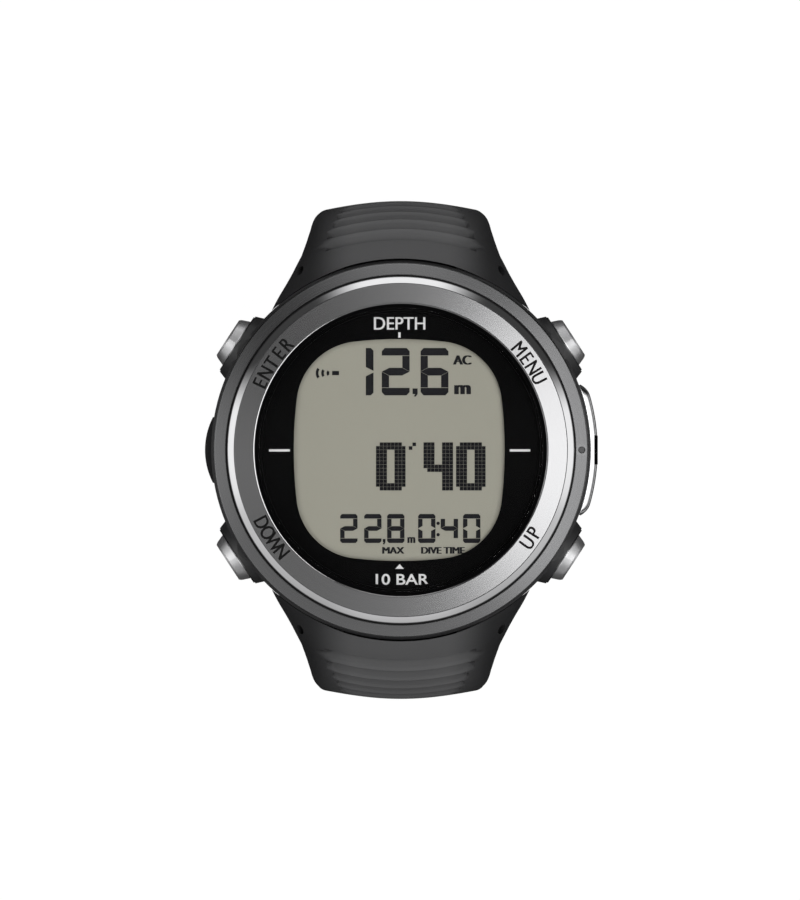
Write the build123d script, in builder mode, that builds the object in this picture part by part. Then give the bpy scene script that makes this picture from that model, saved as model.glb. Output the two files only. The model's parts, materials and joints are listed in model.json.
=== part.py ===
from build123d import *

import math
import os

# Wrist dive computer: a round case with a display, four push buttons and a data port, on a
# two-piece elastomer strap that stands unbuckled on a table.
# Frame: millimetres, +Z up out of the display, +Y towards 12 o'clock, +X towards 3 o'clock.
# The origin is on the table, on the case axis.

# ---------------------------------------------------------------- driving dimensions
wrist_gap = 48.0  # table to the case's back face

# Fits
side_gap = 0.1  # between fixed pieces that lie side by side
run_gap = 0.04  # round a stem, pin or hatch that turns or slides
sweep_gap = 0.3  # round a cheek, tongue or keeper that swings or slides

# Display stack
display_r = 16.9
display_t = 1.6
window_half_x = 13.45  # display opening in the dial mask
window_half_y = 14.15
window_x = -0.2  # its middle from the case axis
window_bulge = 1.45  # how far its sides bow out
window_corner_r = 8.3
crystal_t = 2.05
crystal_seat = 0.4  # how far the crystal reaches past the case's neck
gasket_t = 0.25
mask_t = 0.5
backlight_t = 0.3
holder_wall = 0.65
board_margin = 1.3  # circuit board inside the display's edge
board_t = 0.8
chip_t = 0.9
chips = [  # x, y, width, depth
    (-4, 3, 6, 6),
    (5, 4, 4.5, 4.5),
    (4, -5, 5, 3.2),
    (-5, -5.5, 3, 3),
    (0, -10, 3.6, 1.6),
    (0, 10, 2, 1.2),
]
zebra_t = 1.2
zebra_len = 8.0

# Battery and back
battery_r = 12.25
battery_t = 5.0
contact_t = 0.3
contact_room = 0.55  # battery contact to the board
switch_t = 0.3  # spring strip that the button stems press
switch_lap = 1.4  # how far the strip laps the board
blade_t = 0.2
blade_w = 2.6
blade_gap = 0.3  # stem to blade when the button is pressed
hatch_rim = 0.95  # battery hatch past the battery
hatch_tab = 1.0  # bayonet tabs past the hatch
tab_t = 0.7
tab_deg = 30
unlock_deg = 45  # turn from locked to lifting out
plate_t = 1.6
plate_lip = 1.0  # case rim outside the back plate
coin_slot_w = 1.7
coin_slot_len = 16.0
coin_slot_depth = 0.9
screw_head_r = 1.4
screw_head_t = 0.85
screw_shank_r = 0.7
screw_len = 3.4  # shank above the back plate's recess
post_r = 2.1
post_h = 2.2
land_t = 1.6  # floor that the back plate screws to
back_seal_r = 0.36
hatch_seal_r = 0.36

# Case wall, from the bezel out
bezel_w = 3.5
bezel_face_w = 2.6  # brushed face; the rest is the polished bevel
bezel_face_drop = 0.3
bezel_chamfer = 0.25
bezel_bevel_drop = 1.2
bezel_rise = 0.4  # bezel above the crystal
bezel_skirt_t = 0.9
bezel_gasket_w = 0.35
ring_w = 1.45
ring_h = 2.65
ring_ledge = 0.3  # case wall past the ring
case_wall = 4.6
rim_h = 0.5
flare_h = 6.0  # tapered underside
flare_w = 2.9
key_pin_r = 0.35
key_pin_depth = 1.2  # its bore below the ring's top
key_pin_len = 1.0

# Buttons: name and angle from 3 o'clock
buttons = {"menu": 33, "enter": 147, "down": 213, "up": 327}
button_h = 6.8  # button axis above the back face
button_travel = 0.9
cap_r = 3.3
cap_face_r = 2.65
cap_side_h = 1.4
cap_len = 2.65
cap_dome = 0.25
cap_sink = 1.3  # cap's underside below the collar's face
stem_r = 1.0
collar_clear = 0.15
collar_wall = 0.55
collar_floor = 0.8
collar_depth = 3.6
collar_proud = 0.8  # collar face past the case wall
boss_wall = 0.2
boss_set = 0.15  # boss face behind the collar's
boss_taper = 20
spring_room = 1.1  # spring pocket in the cap
stem_grip = 1.7  # stem's length inside the cap
notch_r = 0.6  # finger notches at the cap's foot
notch_out = 0.25
seal_r = 0.42
clip_r = 1.45
clip_t = 0.4
wire_r = 0.2
coil_r = 1.75
coil_turns = 3.5

# Pressure sensor and buzzer, in the space round the battery
sensor_r = 2.7
sensor_h = 3.0
snout_r = 1.3
snout_seal_r = 0.32
buzzer_r = 3.1
buzzer_h = 2.6

# Data port at 3 o'clock and bumper at 9 o'clock
port_deg = 20.5  # plate's half span round the case
port_half_h = 3.0
port_edge_t = 0.8
port_bow = 0.15
socket_half_w = 2.1
socket_half_h = 1.7
socket_depth = 1.4
contact_r = 0.4
contact_pitch_y = 2.0
contact_pitch_z = 1.6
bumper_half_w = 4.2
bumper_half_h = 3.0
bumper_seat = 0.8
bumper_proud = 0.8

# Strap
strap_reach = 31.9  # case axis to the strap's outermost point
strap_t = 3.0
strap_half_w = 10.4
strap_bend_r = 15.5  # outer radius where the strap turns down
strap_tip_r = 7.28
waist_len = 3.9  # from the pin to the first step of the taper
waist_in = 1.2
taper_len = 6.2
taper_in = 2.2
hip_h = -2.0  # strap's outermost point from the back face
strap_gap = 0.35  # strap end to case wall
strap_top_h = 12.2  # strap's top edge above the back face
horn_half_w = 16.9
pivot_y = 22.9  # strap pin from the case axis
pivot_h = 4.0  # strap pin above the back face
pivot_r = 0.9
pivot_len = 24.6
lug_r = 2.2
lug_half_w = 7.0
cheek_half_w = 13.4
cheek_r = 1.95
flute_count = 6
flute_deg = 7.6
flute_first_deg = 5.9  # lowest flute above the outermost point
flute_r = 1.25
flute_depth = 0.45
flute_half_len = 9.2

# Tail end: side bend, side slope, lower bend and flat that the unbuckled strap stands on
side_bend_r = 60.0
tail_slope = 8.0
tail_bend_r = 19.0
tail_flat = 30.5
hole_count = 6
hole_pitch = 5.0
hole_first = 4.5  # first hole from the tip
hole_w = 2.2
hole_len = 3.4

# Buckle end
buckle_bend_r = 12.7
buckle_side_bend_r = 40.0
buckle_slope = 16.0
buckle_level = 13.0  # underside of its flat above the table
buckle_flat = 12.4
buckle_pin_r = 0.75
frame_reach = 10.6  # buckle pin to front bar
frame_bar_w = 2.0
frame_bar_t = 2.0
frame_arm_w = 1.9
frame_eye = 0.4  # eye round the pin, past the bar's thickness
frame_corner_r = 3.0
tongue_w = 2.0
tongue_t = 1.3
tongue_past = 1.0  # tongue past the front bar
keeper_len = 4.0
keeper_wall = 1.3
keeper_free = 0.2
fixed_keeper_at = 4.4  # buckle pin to the fixed keeper's middle
free_keeper_at = 9.0  # buckle pin to the free keeper's middle

# ---------------------------------------------------------------- levels and radii
back_z = wrist_gap
plate_top = back_z + plate_t
land_top = plate_top + land_t
hatch_top = plate_top + side_gap + tab_t
battery_z = hatch_top + side_gap
battery_top = battery_z + battery_t
board_z = battery_top + contact_t + contact_room
board_top = board_z + board_t
backlight_z = board_top + chip_t + 4 * side_gap
display_z = backlight_z + backlight_t + side_gap
display_top = display_z + display_t
mask_z = display_top + side_gap
seat_z = mask_z + mask_t + side_gap  # top of the neck that the crystal stands on
crystal_z = seat_z + gasket_t
crystal_top = crystal_z + crystal_t
bezel_top = crystal_top + bezel_rise
shoulder_z = seat_z - 0.5
ring_top = shoulder_z + 1.1
ring_z = ring_top - ring_h
neck_z = backlight_z - side_gap

hatch_r = battery_r + hatch_rim
tab_r = hatch_r + hatch_tab
land_r = tab_r + 4 * side_gap
hatch_bore_r = hatch_r + 0.15
holder_r = display_r + side_gap + holder_wall
neck_r = max(holder_r + side_gap, land_r + 2 * post_r - 1.0)
crystal_r = neck_r + crystal_seat
bezel_inner = crystal_r + 0.4
bezel_outer = bezel_inner + bezel_w
skirt_r = bezel_outer - bezel_skirt_t
ring_inner = bezel_outer + bezel_gasket_w
ring_outer = ring_inner + ring_w
case_r = ring_outer + ring_ledge
cavity_r = case_r - case_wall
rim_r = case_r - flare_w
plate_r = rim_r - plate_lip
screw_r = cavity_r - post_r + 0.4
board_r = display_r - board_margin
rim_z = back_z + rim_h
flare_z = rim_z + flare_h
side_mid_r = (battery_r + cavity_r) / 2
sensor_x = side_mid_r + 0.5

button_z = back_z + button_h
collar_face = case_r + collar_proud
collar_foot = collar_face - collar_depth
collar_r = cap_r + collar_clear + collar_wall
gland_t = 2 * seal_r + 0.06
gland_r = stem_r + gland_t
boss_face = collar_face - boss_set
cap_foot = collar_face - cap_sink
stem_end = cavity_r - 1.0
clip_face = cavity_r - 0.15

port_z = back_z + (rim_h + ring_z - back_z) / 2 + 1.0
port_half_w = case_r * math.sin(math.radians(port_deg))
strap_clear_r = case_r + strap_gap
pivot_z = back_z + pivot_h
hip_z = back_z + hip_h
strap_top = back_z + strap_top_h

os.makedirs("parts", exist_ok=True)


def write(built, name):
    """Labels a finished piece and writes it as its own STEP file."""
    built.part.label = name
    export_step(built.part, f"parts/{name}.step")


def turn(points, mode=Mode.ADD):
    """Turns a closed (radius, height) outline about the case axis."""
    with BuildSketch(Plane.XZ) as outline:
        with BuildLine():
            Polyline(*points, close=True)
        make_face()
    revolve(outline.sketch, axis=Axis.Z, mode=mode)


def ring(inner, outer, low, high, mode=Mode.ADD):
    """Adds or cuts a plain ring about the case axis."""
    turn([(inner, low), (outer, low), (outer, high), (inner, high)], mode)


def tube(plane, outer, length, inner=0.0, mode=Mode.ADD):
    """Adds or cuts a disc, or a tube if it has an inner radius, that starts on a plane."""
    with BuildSketch(plane) as outline:
        Circle(outer)
        if inner:
            Circle(inner, mode=Mode.SUBTRACT)
    extrude(outline.sketch, amount=length, mode=mode)


def slab(x0, x1, y0, y1, z0, z1, mode=Mode.ADD):
    """Adds or cuts a box given by its faces."""
    with BuildSketch(Plane.XY.offset(z0)) as outline:
        with Locations(((x0 + x1) / 2, (y0 + y1) / 2)):
            Rectangle(x1 - x0, y1 - y0)
    extrude(outline.sketch, amount=z1 - z0, mode=mode)


def sector(middle, half, inner, outer, low, height, mode=Mode.ADD):
    """Adds or cuts a block between two radii, centred on an angle; angles in degrees."""
    start, centre, end = (math.radians(a) for a in (middle - half, middle, middle + half))
    with BuildSketch(Plane.XY.offset(low)) as outline:
        with BuildLine():
            first = Line(
                (inner * math.cos(start), inner * math.sin(start)),
                (outer * math.cos(start), outer * math.sin(start)),
            )
            last = Line(
                (outer * math.cos(end), outer * math.sin(end)),
                (inner * math.cos(end), inner * math.sin(end)),
            )
            ThreePointArc(first @ 1, (outer * math.cos(centre), outer * math.sin(centre)), last @ 0)
            Line(last @ 1, first @ 0)
        make_face()
    extrude(outline.sketch, amount=height, mode=mode)


def button_plane(angle, reach):
    """A plane across a button's axis, with its normal out of the case."""
    a = math.radians(angle)
    out = Vector(math.cos(a), math.sin(a), 0)
    return Plane(origin=out * reach + Vector(0, 0, button_z), x_dir=(0, 0, 1), z_dir=out)


# ---------------------------------------------------------------- case body
with BuildPart() as body:
    turn(
        [
            (0, rim_z),
            (rim_r, rim_z),
            (case_r, flare_z),
            (case_r, ring_z - 0.3),
            (case_r - 0.3, ring_z),
            (ring_inner - side_gap, ring_z),
            (ring_inner - side_gap, shoulder_z),
            (skirt_r - side_gap, shoulder_z),
            (skirt_r - side_gap, seat_z),
            (0, seat_z),
        ]
    )
    # Button bosses, short cones that grow out of the flank
    boss_spread = math.tan(math.radians(boss_taper)) * (boss_face - skirt_r)
    for angle in buttons.values():
        with BuildSketch(button_plane(angle, skirt_r)):
            Circle(collar_r + boss_wall + boss_spread)
        extrude(amount=boss_face - skirt_r, taper=boss_taper)
    # The ring's seat is cut back flat all round
    ring(ring_inner - side_gap, case_r + 5, ring_z, seat_z + 2, Mode.SUBTRACT)
    # Lugs that carry the strap pins
    for side in (1, -1):
        with BuildSketch(Plane.YZ.offset(-lug_half_w)):
            with Locations((side * pivot_y, pivot_z)):
                Circle(lug_r)
            with Locations((side * (pivot_y - lug_r), pivot_z)):
                Rectangle(2 * lug_r, 2 * lug_r)
        extrude(amount=2 * lug_half_w)
    # Pockets for the strap's cheeks beside each lug
    for side in (1, -1):
        for x0, x1 in ((lug_half_w, horn_half_w), (-horn_half_w, -lug_half_w)):
            with BuildSketch(Plane.YZ.offset(x0)):
                with Locations((side * pivot_y, pivot_z)):
                    Circle(cheek_r + sweep_gap)
                with Locations((side * (pivot_y + 3), pivot_z)):
                    Rectangle(6, 2 * (cheek_r + sweep_gap))
            extrude(amount=x1 - x0, mode=Mode.SUBTRACT)
    # Cavity, neck and back recess
    ring(0, cavity_r, land_top, neck_z, Mode.SUBTRACT)
    ring(0, neck_r, neck_z - 1, seat_z + 1, Mode.SUBTRACT)
    ring(0, land_r, rim_z - 1, land_top + 1, Mode.SUBTRACT)
    ring(0, plate_r + side_gap, rim_z - 1, plate_top, Mode.SUBTRACT)
    # Posts for the back plate's screws
    with BuildSketch(Plane.XY.offset(land_top - 0.2)):
        with PolarLocations(screw_r, 4, start_angle=45):
            Circle(post_r)
    extrude(amount=post_h + 0.2)
    with BuildSketch(Plane.XY.offset(plate_top - 0.1)):
        with PolarLocations(screw_r, 4, start_angle=45):
            Circle(screw_shank_r + 0.02)
    extrude(amount=screw_len, mode=Mode.SUBTRACT)
    # Sensor snout's bore
    with BuildSketch(Plane.XY.offset(plate_top - 0.1)):
        with Locations((sensor_x, 0)):
            Circle(snout_r + 2 * snout_seal_r)
    extrude(amount=land_t + 0.2, mode=Mode.SUBTRACT)
    # Button sockets: collar, seal gland and stem bore
    for angle in buttons.values():
        tube(button_plane(angle, collar_foot), collar_r, collar_depth + 3, mode=Mode.SUBTRACT)
        tube(button_plane(angle, collar_foot - gland_t), gland_r, gland_t, mode=Mode.SUBTRACT)
        tube(button_plane(angle, cavity_r - 2), stem_r + run_gap, 4, mode=Mode.SUBTRACT)
    # Strap pin bores
    for side in (1, -1):
        with BuildSketch(Plane.YZ.offset(-pivot_len / 2)):
            with Locations((side * pivot_y, pivot_z)):
                Circle(pivot_r)
        extrude(amount=pivot_len, mode=Mode.SUBTRACT)
    # Data socket and bumper seat
    slab(
        case_r - socket_depth, case_r + 1, -socket_half_w, socket_half_w,
        port_z - socket_half_h, port_z + socket_half_h, Mode.SUBTRACT,
    )
    slab(
        -case_r - 1, bumper_seat - case_r, -bumper_half_w, bumper_half_w,
        port_z - bumper_half_h, port_z + bumper_half_h, Mode.SUBTRACT,
    )
write(body, "case_body")

# ---------------------------------------------------------------- bezel, ring and crystal
key_pin_x = (ring_inner + ring_outer) / 2 - 0.1
with BuildPart() as case_ring:
    ring(ring_inner, ring_outer, ring_z, ring_top)
    chamfer(case_ring.edges().group_by(Axis.Z)[-1], 0.25)
    with BuildSketch(Plane.XY.offset(ring_top - key_pin_depth)):
        with Locations((key_pin_x, 0)):
            Circle(key_pin_r)
    extrude(amount=2 * key_pin_depth, mode=Mode.SUBTRACT)
write(case_ring, "case_ring")

with BuildPart() as key_pin:
    with BuildSketch(Plane.XY.offset(ring_top - key_pin_depth)):
        with Locations((key_pin_x, 0)):
            Circle(key_pin_r)
    extrude(amount=key_pin_len)
write(key_pin, "ring_key_pin")

with BuildPart() as bezel:
    turn(
        [
            (bezel_inner, seat_z + side_gap),
            (bezel_inner, bezel_top - bezel_chamfer),
            (bezel_inner + bezel_chamfer, bezel_top),
            (bezel_inner + bezel_face_w, bezel_top - bezel_face_drop),
            (bezel_outer, bezel_top - bezel_bevel_drop),
            (bezel_outer, shoulder_z + side_gap),
            (skirt_r, shoulder_z + side_gap),
            (skirt_r, seat_z + side_gap),
        ]
    )
write(bezel, "bezel")

with BuildPart() as bezel_gasket:
    ring(bezel_outer, ring_inner, shoulder_z, ring_top - side_gap)
write(bezel_gasket, "bezel_gasket")

with BuildPart() as crystal:
    ring(0, crystal_r, crystal_z, crystal_top)
    chamfer(crystal.edges().group_by(Axis.Z)[-1], 0.15)
write(crystal, "crystal")

with BuildPart() as crystal_gasket:
    turn(
        [
            (neck_r, seat_z),
            (bezel_inner, seat_z),
            (bezel_inner, crystal_top - 0.2),
            (crystal_r, crystal_top - 0.2),
            (crystal_r, crystal_z),
            (neck_r, crystal_z),
        ]
    )
write(crystal_gasket, "crystal_gasket")

# ---------------------------------------------------------------- display stack
with BuildPart() as dial_mask:
    ring(0, neck_r - side_gap, mask_z, mask_z + mask_t)
    with BuildSketch(Plane((window_x, 0, mask_z - 1))):
        with BuildLine():
            right = window_half_x - window_bulge
            top = window_half_y - window_bulge
            ThreePointArc((right, -top), (window_half_x, 0), (right, top))
            ThreePointArc((right, top), (0, window_half_y), (-right, top))
            ThreePointArc((-right, top), (-window_half_x, 0), (-right, -top))
            ThreePointArc((-right, -top), (0, -window_half_y), (right, -top))
        make_face()
        fillet(vertices(), window_corner_r)
    extrude(amount=mask_t + 2, mode=Mode.SUBTRACT)
write(dial_mask, "dial_mask")

with BuildPart() as lcd_panel:
    ring(0, display_r, display_z, display_top)
write(lcd_panel, "lcd_panel")

backlight_r = display_r - 0.8
zebra_out = math.sqrt(board_r**2 - zebra_len**2 / 4) - side_gap
zebra_in = zebra_out - zebra_t
with BuildPart() as lcd_backlight:
    ring(0, backlight_r, backlight_z, backlight_z + backlight_t)
    for side in (1, -1):
        with BuildSketch(Plane.XY.offset(backlight_z)):
            with Locations((0, side * (zebra_in - side_gap + backlight_r / 2))):
                Rectangle(zebra_len + 2 * side_gap, backlight_r)
        extrude(amount=backlight_t, mode=Mode.SUBTRACT)
write(lcd_backlight, "lcd_backlight")

with BuildPart() as zebra_strips:
    with BuildSketch(Plane.XY.offset(board_top)):
        with Locations((0, (zebra_in + zebra_out) / 2), (0, -(zebra_in + zebra_out) / 2)):
            Rectangle(zebra_len, zebra_t)
    extrude(amount=display_z - board_top)
write(zebra_strips, "zebra_strips")

with BuildPart() as module_frame:
    turn(
        [
            (board_r + side_gap, board_z + 0.3),
            (cavity_r - 2 * side_gap, board_z + 0.3),
            (cavity_r - 2 * side_gap, neck_z - side_gap),
            (holder_r, neck_z - side_gap),
            (holder_r, display_top),
            (display_r + side_gap, display_top),
            (display_r + side_gap, board_top + chip_t),
            (board_r + side_gap, board_top + chip_t),
        ]
    )
write(module_frame, "module_frame")

with BuildPart() as circuit_board:
    ring(0, board_r, board_z, board_top)
    with BuildSketch(Plane.XY.offset(board_z)):
        with PolarLocations(board_r, 3, start_angle=60):
            Circle(0.9)
    extrude(amount=board_t, mode=Mode.SUBTRACT)
write(circuit_board, "circuit_board")

with BuildPart() as board_chips:
    for x, y, w, h in chips:
        with BuildSketch(Plane.XY.offset(board_top)):
            with Locations((x, y)):
                Rectangle(w, h)
        extrude(amount=chip_t)
write(board_chips, "board_chips")

blade_in = stem_end - button_travel - blade_gap - blade_t
with BuildPart() as switch_contacts:
    ring(board_r - switch_lap, blade_in + blade_t, board_z - switch_t, board_z)
    for angle in buttons.values():
        face = button_plane(angle, blade_in)
        drop = blade_w / 2 + side_gap
        with BuildSketch(face):
            with Locations(((board_z - button_z - drop) / 2, 0)):
                Rectangle(board_z - button_z + drop, blade_w)
        extrude(amount=blade_t)
write(switch_contacts, "switch_contacts")

# ---------------------------------------------------------------- power, sensor and buzzer
with BuildPart() as battery:
    turn(
        [
            (0, battery_z),
            (battery_r - 1.2, battery_z),
            (battery_r - 0.9, battery_z + 0.5),
            (battery_r, battery_z + 0.8),
            (battery_r, battery_top - 0.3),
            (battery_r - 0.3, battery_top),
            (0, battery_top),
        ]
    )
write(battery, "battery")

with BuildPart() as battery_contact:
    tube(Plane.XY.offset(battery_top), 3.0, contact_t)
    slab(0, battery_r - 2, -1.2, 1.2, battery_top, battery_top + contact_t)
    slab(battery_r - 3.2, battery_r - 2, -1.2, 1.2, battery_top, board_z)
write(battery_contact, "battery_contact")

with BuildPart() as buzzer:
    tube(Plane((-side_mid_r, 0, land_top)), buzzer_r, buzzer_h)
    tube(Plane((-side_mid_r, 0, land_top + buzzer_h - 0.3)), 0.5, 0.3, mode=Mode.SUBTRACT)
write(buzzer, "buzzer")

with BuildPart() as pressure_sensor:
    tube(Plane((sensor_x, 0, land_top)), sensor_r, sensor_h)
    tube(Plane((sensor_x, 0, plate_top + side_gap)), snout_r, land_t)
    tube(Plane((sensor_x, 0, plate_top)), 0.5, 1.2, mode=Mode.SUBTRACT)
write(pressure_sensor, "pressure_sensor")

with BuildPart() as sensor_seal:
    seal_z = (plate_top + land_top) / 2
    with BuildSketch(Plane((sensor_x, 0, seal_z), x_dir=(1, 0, 0), z_dir=(0, -1, 0))):
        with Locations((snout_r + snout_seal_r, 0)):
            Circle(snout_seal_r)
    revolve(axis=Axis((sensor_x, 0, 0), (0, 0, 1)))
write(sensor_seal, "sensor_seal")

# ---------------------------------------------------------------- data port and bumper
with BuildPart() as port_plate:
    edge_out = case_r + port_edge_t
    corner = (edge_out * math.cos(math.radians(port_deg)), edge_out * math.sin(math.radians(port_deg)))
    with BuildSketch(Plane.XY.offset(port_z - port_half_h)):
        with BuildLine():
            foot = (case_r * math.cos(math.radians(port_deg)), port_half_w)
            ThreePointArc((foot[0], -foot[1]), (case_r, 0), foot)
            Line(foot, corner)
            ThreePointArc(corner, (edge_out + port_bow, 0), (corner[0], -corner[1]))
            Line((corner[0], -corner[1]), (foot[0], -foot[1]))
        make_face()
    extrude(amount=2 * port_half_h)
    chamfer(port_plate.edges().filter_by(Axis.Z).sort_by(SortBy.DISTANCE)[-2:], port_edge_t / 2)
    slab(
        case_r - 1, edge_out + 1, -socket_half_w, socket_half_w,
        port_z - socket_half_h, port_z + socket_half_h, Mode.SUBTRACT,
    )
write(port_plate, "port_plate")

pin_y_spots = (-contact_pitch_y / 2, contact_pitch_y / 2)
pin_z_spots = (-contact_pitch_z / 2, contact_pitch_z / 2)
pin_spots = [(y, z) for y in pin_y_spots for z in pin_z_spots]
pin_foot = Plane((case_r - socket_depth + side_gap, 0, port_z), x_dir=(0, 1, 0), z_dir=(1, 0, 0))
with BuildPart() as port_insulator:
    slab(
        case_r - socket_depth, case_r, side_gap - socket_half_w, socket_half_w - side_gap,
        port_z - socket_half_h + side_gap, port_z + socket_half_h - side_gap,
    )
    with BuildSketch(pin_foot):
        with Locations(*pin_spots):
            Circle(contact_r)
    extrude(amount=socket_depth + 1, mode=Mode.SUBTRACT)
write(port_insulator, "port_insulator")

with BuildPart() as port_contacts:
    with BuildSketch(pin_foot):
        with Locations(*pin_spots):
            Circle(contact_r)
    extrude(amount=socket_depth + 2 * side_gap)
write(port_contacts, "port_contacts")

with BuildPart() as side_bumper:
    edge_x = -math.sqrt(case_r**2 - bumper_half_w**2) - 0.15
    with BuildSketch(Plane.XY.offset(port_z - bumper_half_h)):
        with BuildLine():
            Line((bumper_seat - case_r, bumper_half_w), (bumper_seat - case_r, -bumper_half_w))
            Line((bumper_seat - case_r, -bumper_half_w), (edge_x, -bumper_half_w))
            ThreePointArc(
                (edge_x, -bumper_half_w), (-case_r - bumper_proud, 0), (edge_x, bumper_half_w)
            )
            Line((edge_x, bumper_half_w), (bumper_seat - case_r, bumper_half_w))
        make_face()
    extrude(amount=2 * bumper_half_h)
write(side_bumper, "side_bumper")

# ---------------------------------------------------------------- back plate and battery hatch
seal_groove_r = (land_r + screw_r - post_r) / 2 + 0.4
tab_starts = (0, 120, 240)
with BuildPart() as case_back:
    ring(hatch_bore_r, plate_r, back_z, plate_top)
    chamfer(case_back.edges().group_by(Axis.Z)[0].sort_by(SortBy.LENGTH)[-1], 0.4)
    # Notches that the hatch's tabs drop through
    for start in tab_starts:
        sector(
            start + unlock_deg, tab_deg / 2 + 2, hatch_bore_r - 0.5, tab_r + 0.15,
            back_z, plate_t, Mode.SUBTRACT,
        )
    # Groove for the main seal
    groove_half = back_seal_r + side_gap
    ring(
        seal_groove_r - groove_half, seal_groove_r + groove_half,
        plate_top - 2 * back_seal_r, plate_top, Mode.SUBTRACT,
    )
    # Countersunk screws
    with BuildSketch(Plane.XY.offset(back_z)):
        with PolarLocations(screw_r, 4, start_angle=45):
            Circle(screw_head_r + 0.05)
    extrude(amount=screw_head_t + 0.05, mode=Mode.SUBTRACT)
    with BuildSketch(Plane.XY.offset(back_z)):
        with PolarLocations(screw_r, 4, start_angle=45):
            Circle(screw_shank_r + 0.05)
    extrude(amount=plate_t, mode=Mode.SUBTRACT)
    # Water holes in front of the pressure sensor
    with BuildSketch(Plane.XY.offset(back_z)):
        with Locations((sensor_x, 0)):
            with PolarLocations(0.9, 3):
                Circle(0.35)
    extrude(amount=plate_t, mode=Mode.SUBTRACT)
write(case_back, "case_back")

with BuildPart() as case_back_seal:
    with BuildSketch(Plane.XZ):
        with Locations((seal_groove_r, plate_top - back_seal_r)):
            Circle(back_seal_r)
    revolve(axis=Axis.Z)
write(case_back_seal, "case_back_seal")

with BuildPart() as case_back_screws:
    with BuildSketch(Plane.XY.offset(back_z + 0.05)):
        with PolarLocations(screw_r, 4, start_angle=45):
            Circle(screw_head_r)
    extrude(amount=screw_head_t)
    with BuildSketch(Plane.XY.offset(back_z + 0.05)):
        with PolarLocations(screw_r, 4, start_angle=45):
            Circle(screw_shank_r)
    extrude(amount=plate_t + screw_len - 0.4)
    with BuildSketch(Plane.XY.offset(back_z)):
        with PolarLocations(screw_r, 4, start_angle=45):
            RegularPolygon(0.65, 6)
    extrude(amount=0.6, mode=Mode.SUBTRACT)
write(case_back_screws, "case_back_screws")

hatch_groove_z = back_z + plate_t / 2
with BuildPart() as battery_cover:
    ring(0, hatch_r, back_z, hatch_top)
    chamfer(battery_cover.edges().group_by(Axis.Z)[0], 0.3)
    for start in tab_starts:
        sector(start, tab_deg / 2, hatch_r - 0.8, tab_r, plate_top + side_gap, tab_t)
    ring(
        hatch_bore_r - 2 * hatch_seal_r - 0.03, hatch_r + 0.01,
        hatch_groove_z - hatch_seal_r - 0.05, hatch_groove_z + hatch_seal_r + 0.05, Mode.SUBTRACT,
    )
    slab(
        -coin_slot_len / 2, coin_slot_len / 2, -coin_slot_w / 2, coin_slot_w / 2,
        back_z, back_z + coin_slot_depth, Mode.SUBTRACT,
    )
write(battery_cover, "battery_cover")

with BuildPart() as battery_cover_seal:
    with BuildSketch(Plane.XZ):
        with Locations((hatch_bore_r - hatch_seal_r - 0.02, hatch_groove_z)):
            Circle(hatch_seal_r)
    revolve(axis=Axis.Z)
write(battery_cover_seal, "battery_cover_seal")

# ---------------------------------------------------------------- buttons
with BuildPart() as button_collars:
    for angle in buttons.values():
        tube(button_plane(angle, collar_foot), collar_r, collar_floor, stem_r + run_gap)
        tube(
            button_plane(angle, collar_foot + collar_floor), collar_r,
            collar_depth - collar_floor, cap_r + collar_clear,
        )
write(button_collars, "button_collars")

with BuildPart() as button_seals:
    for angle in buttons.values():
        middle = button_plane(angle, collar_foot - gland_t / 2)
        with BuildSketch(Plane(middle.origin, x_dir=middle.x_dir, z_dir=middle.y_dir)):
            with Locations((stem_r + run_gap + seal_r, 0)):
                Circle(seal_r)
        revolve(axis=Axis(middle.origin, middle.z_dir))
write(button_seals, "button_seals")

cap_core = cap_foot + spring_room
for name, angle in buttons.items():
    foot = button_plane(angle, cap_foot)
    with BuildPart() as cap:
        tube(foot, cap_r, cap_side_h)
        with BuildSketch(button_plane(angle, cap_foot + cap_side_h)):
            Circle(cap_r)
        with BuildSketch(button_plane(angle, cap_foot + cap_len - cap_dome)):
            Circle(cap_face_r + 0.2)
        loft()
        with BuildSketch(button_plane(angle, cap_foot + cap_len - cap_dome)):
            Circle(cap_face_r + 0.2)
        extrude(amount=cap_dome, taper=40)
        tube(foot, coil_r + 2 * wire_r + 0.15, spring_room, mode=Mode.SUBTRACT)
        tube(foot, stem_r, stem_grip, mode=Mode.SUBTRACT)
        # Finger notches at both ends of the cap's foot
        for side in (1, -1):
            with BuildSketch(button_plane(angle, cap_foot + cap_side_h - 0.3)):
                with Locations((0, side * (cap_r + notch_out))):
                    Circle(notch_r)
            extrude(amount=cap_len, mode=Mode.SUBTRACT)
    write(cap, f"{name}_button_cap")

    with BuildPart() as stem:
        tube(button_plane(angle, stem_end), stem_r, cap_foot + stem_grip - stem_end)
        tube(button_plane(angle, clip_face - clip_t), stem_r + 1, clip_t, stem_r - 0.3, Mode.SUBTRACT)
    write(stem, f"{name}_button_stem")

    with BuildPart() as clip:
        tube(button_plane(angle, clip_face - clip_t), clip_r, clip_t, stem_r - 0.3)
        with BuildSketch(button_plane(angle, clip_face - clip_t)):
            with Locations((-clip_r, 0)):
                Rectangle(2 * clip_r, 0.9)
        extrude(amount=clip_t, mode=Mode.SUBTRACT)
    write(clip, f"{name}_button_clip")

    coil_low = collar_foot + collar_floor + wire_r + 0.02
    coil_high = cap_core - wire_r - 0.02
    seat = button_plane(angle, coil_low)
    with BuildPart() as spring:
        with BuildLine() as path:
            rise = coil_high - coil_low
            Helix(rise / coil_turns, rise, coil_r, center=seat.origin, direction=seat.z_dir)
        with BuildSketch(Plane(path.line @ 0, z_dir=path.line % 0)):
            Circle(wire_r)
        sweep(is_frenet=True)
    write(spring, f"{name}_button_spring")

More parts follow.
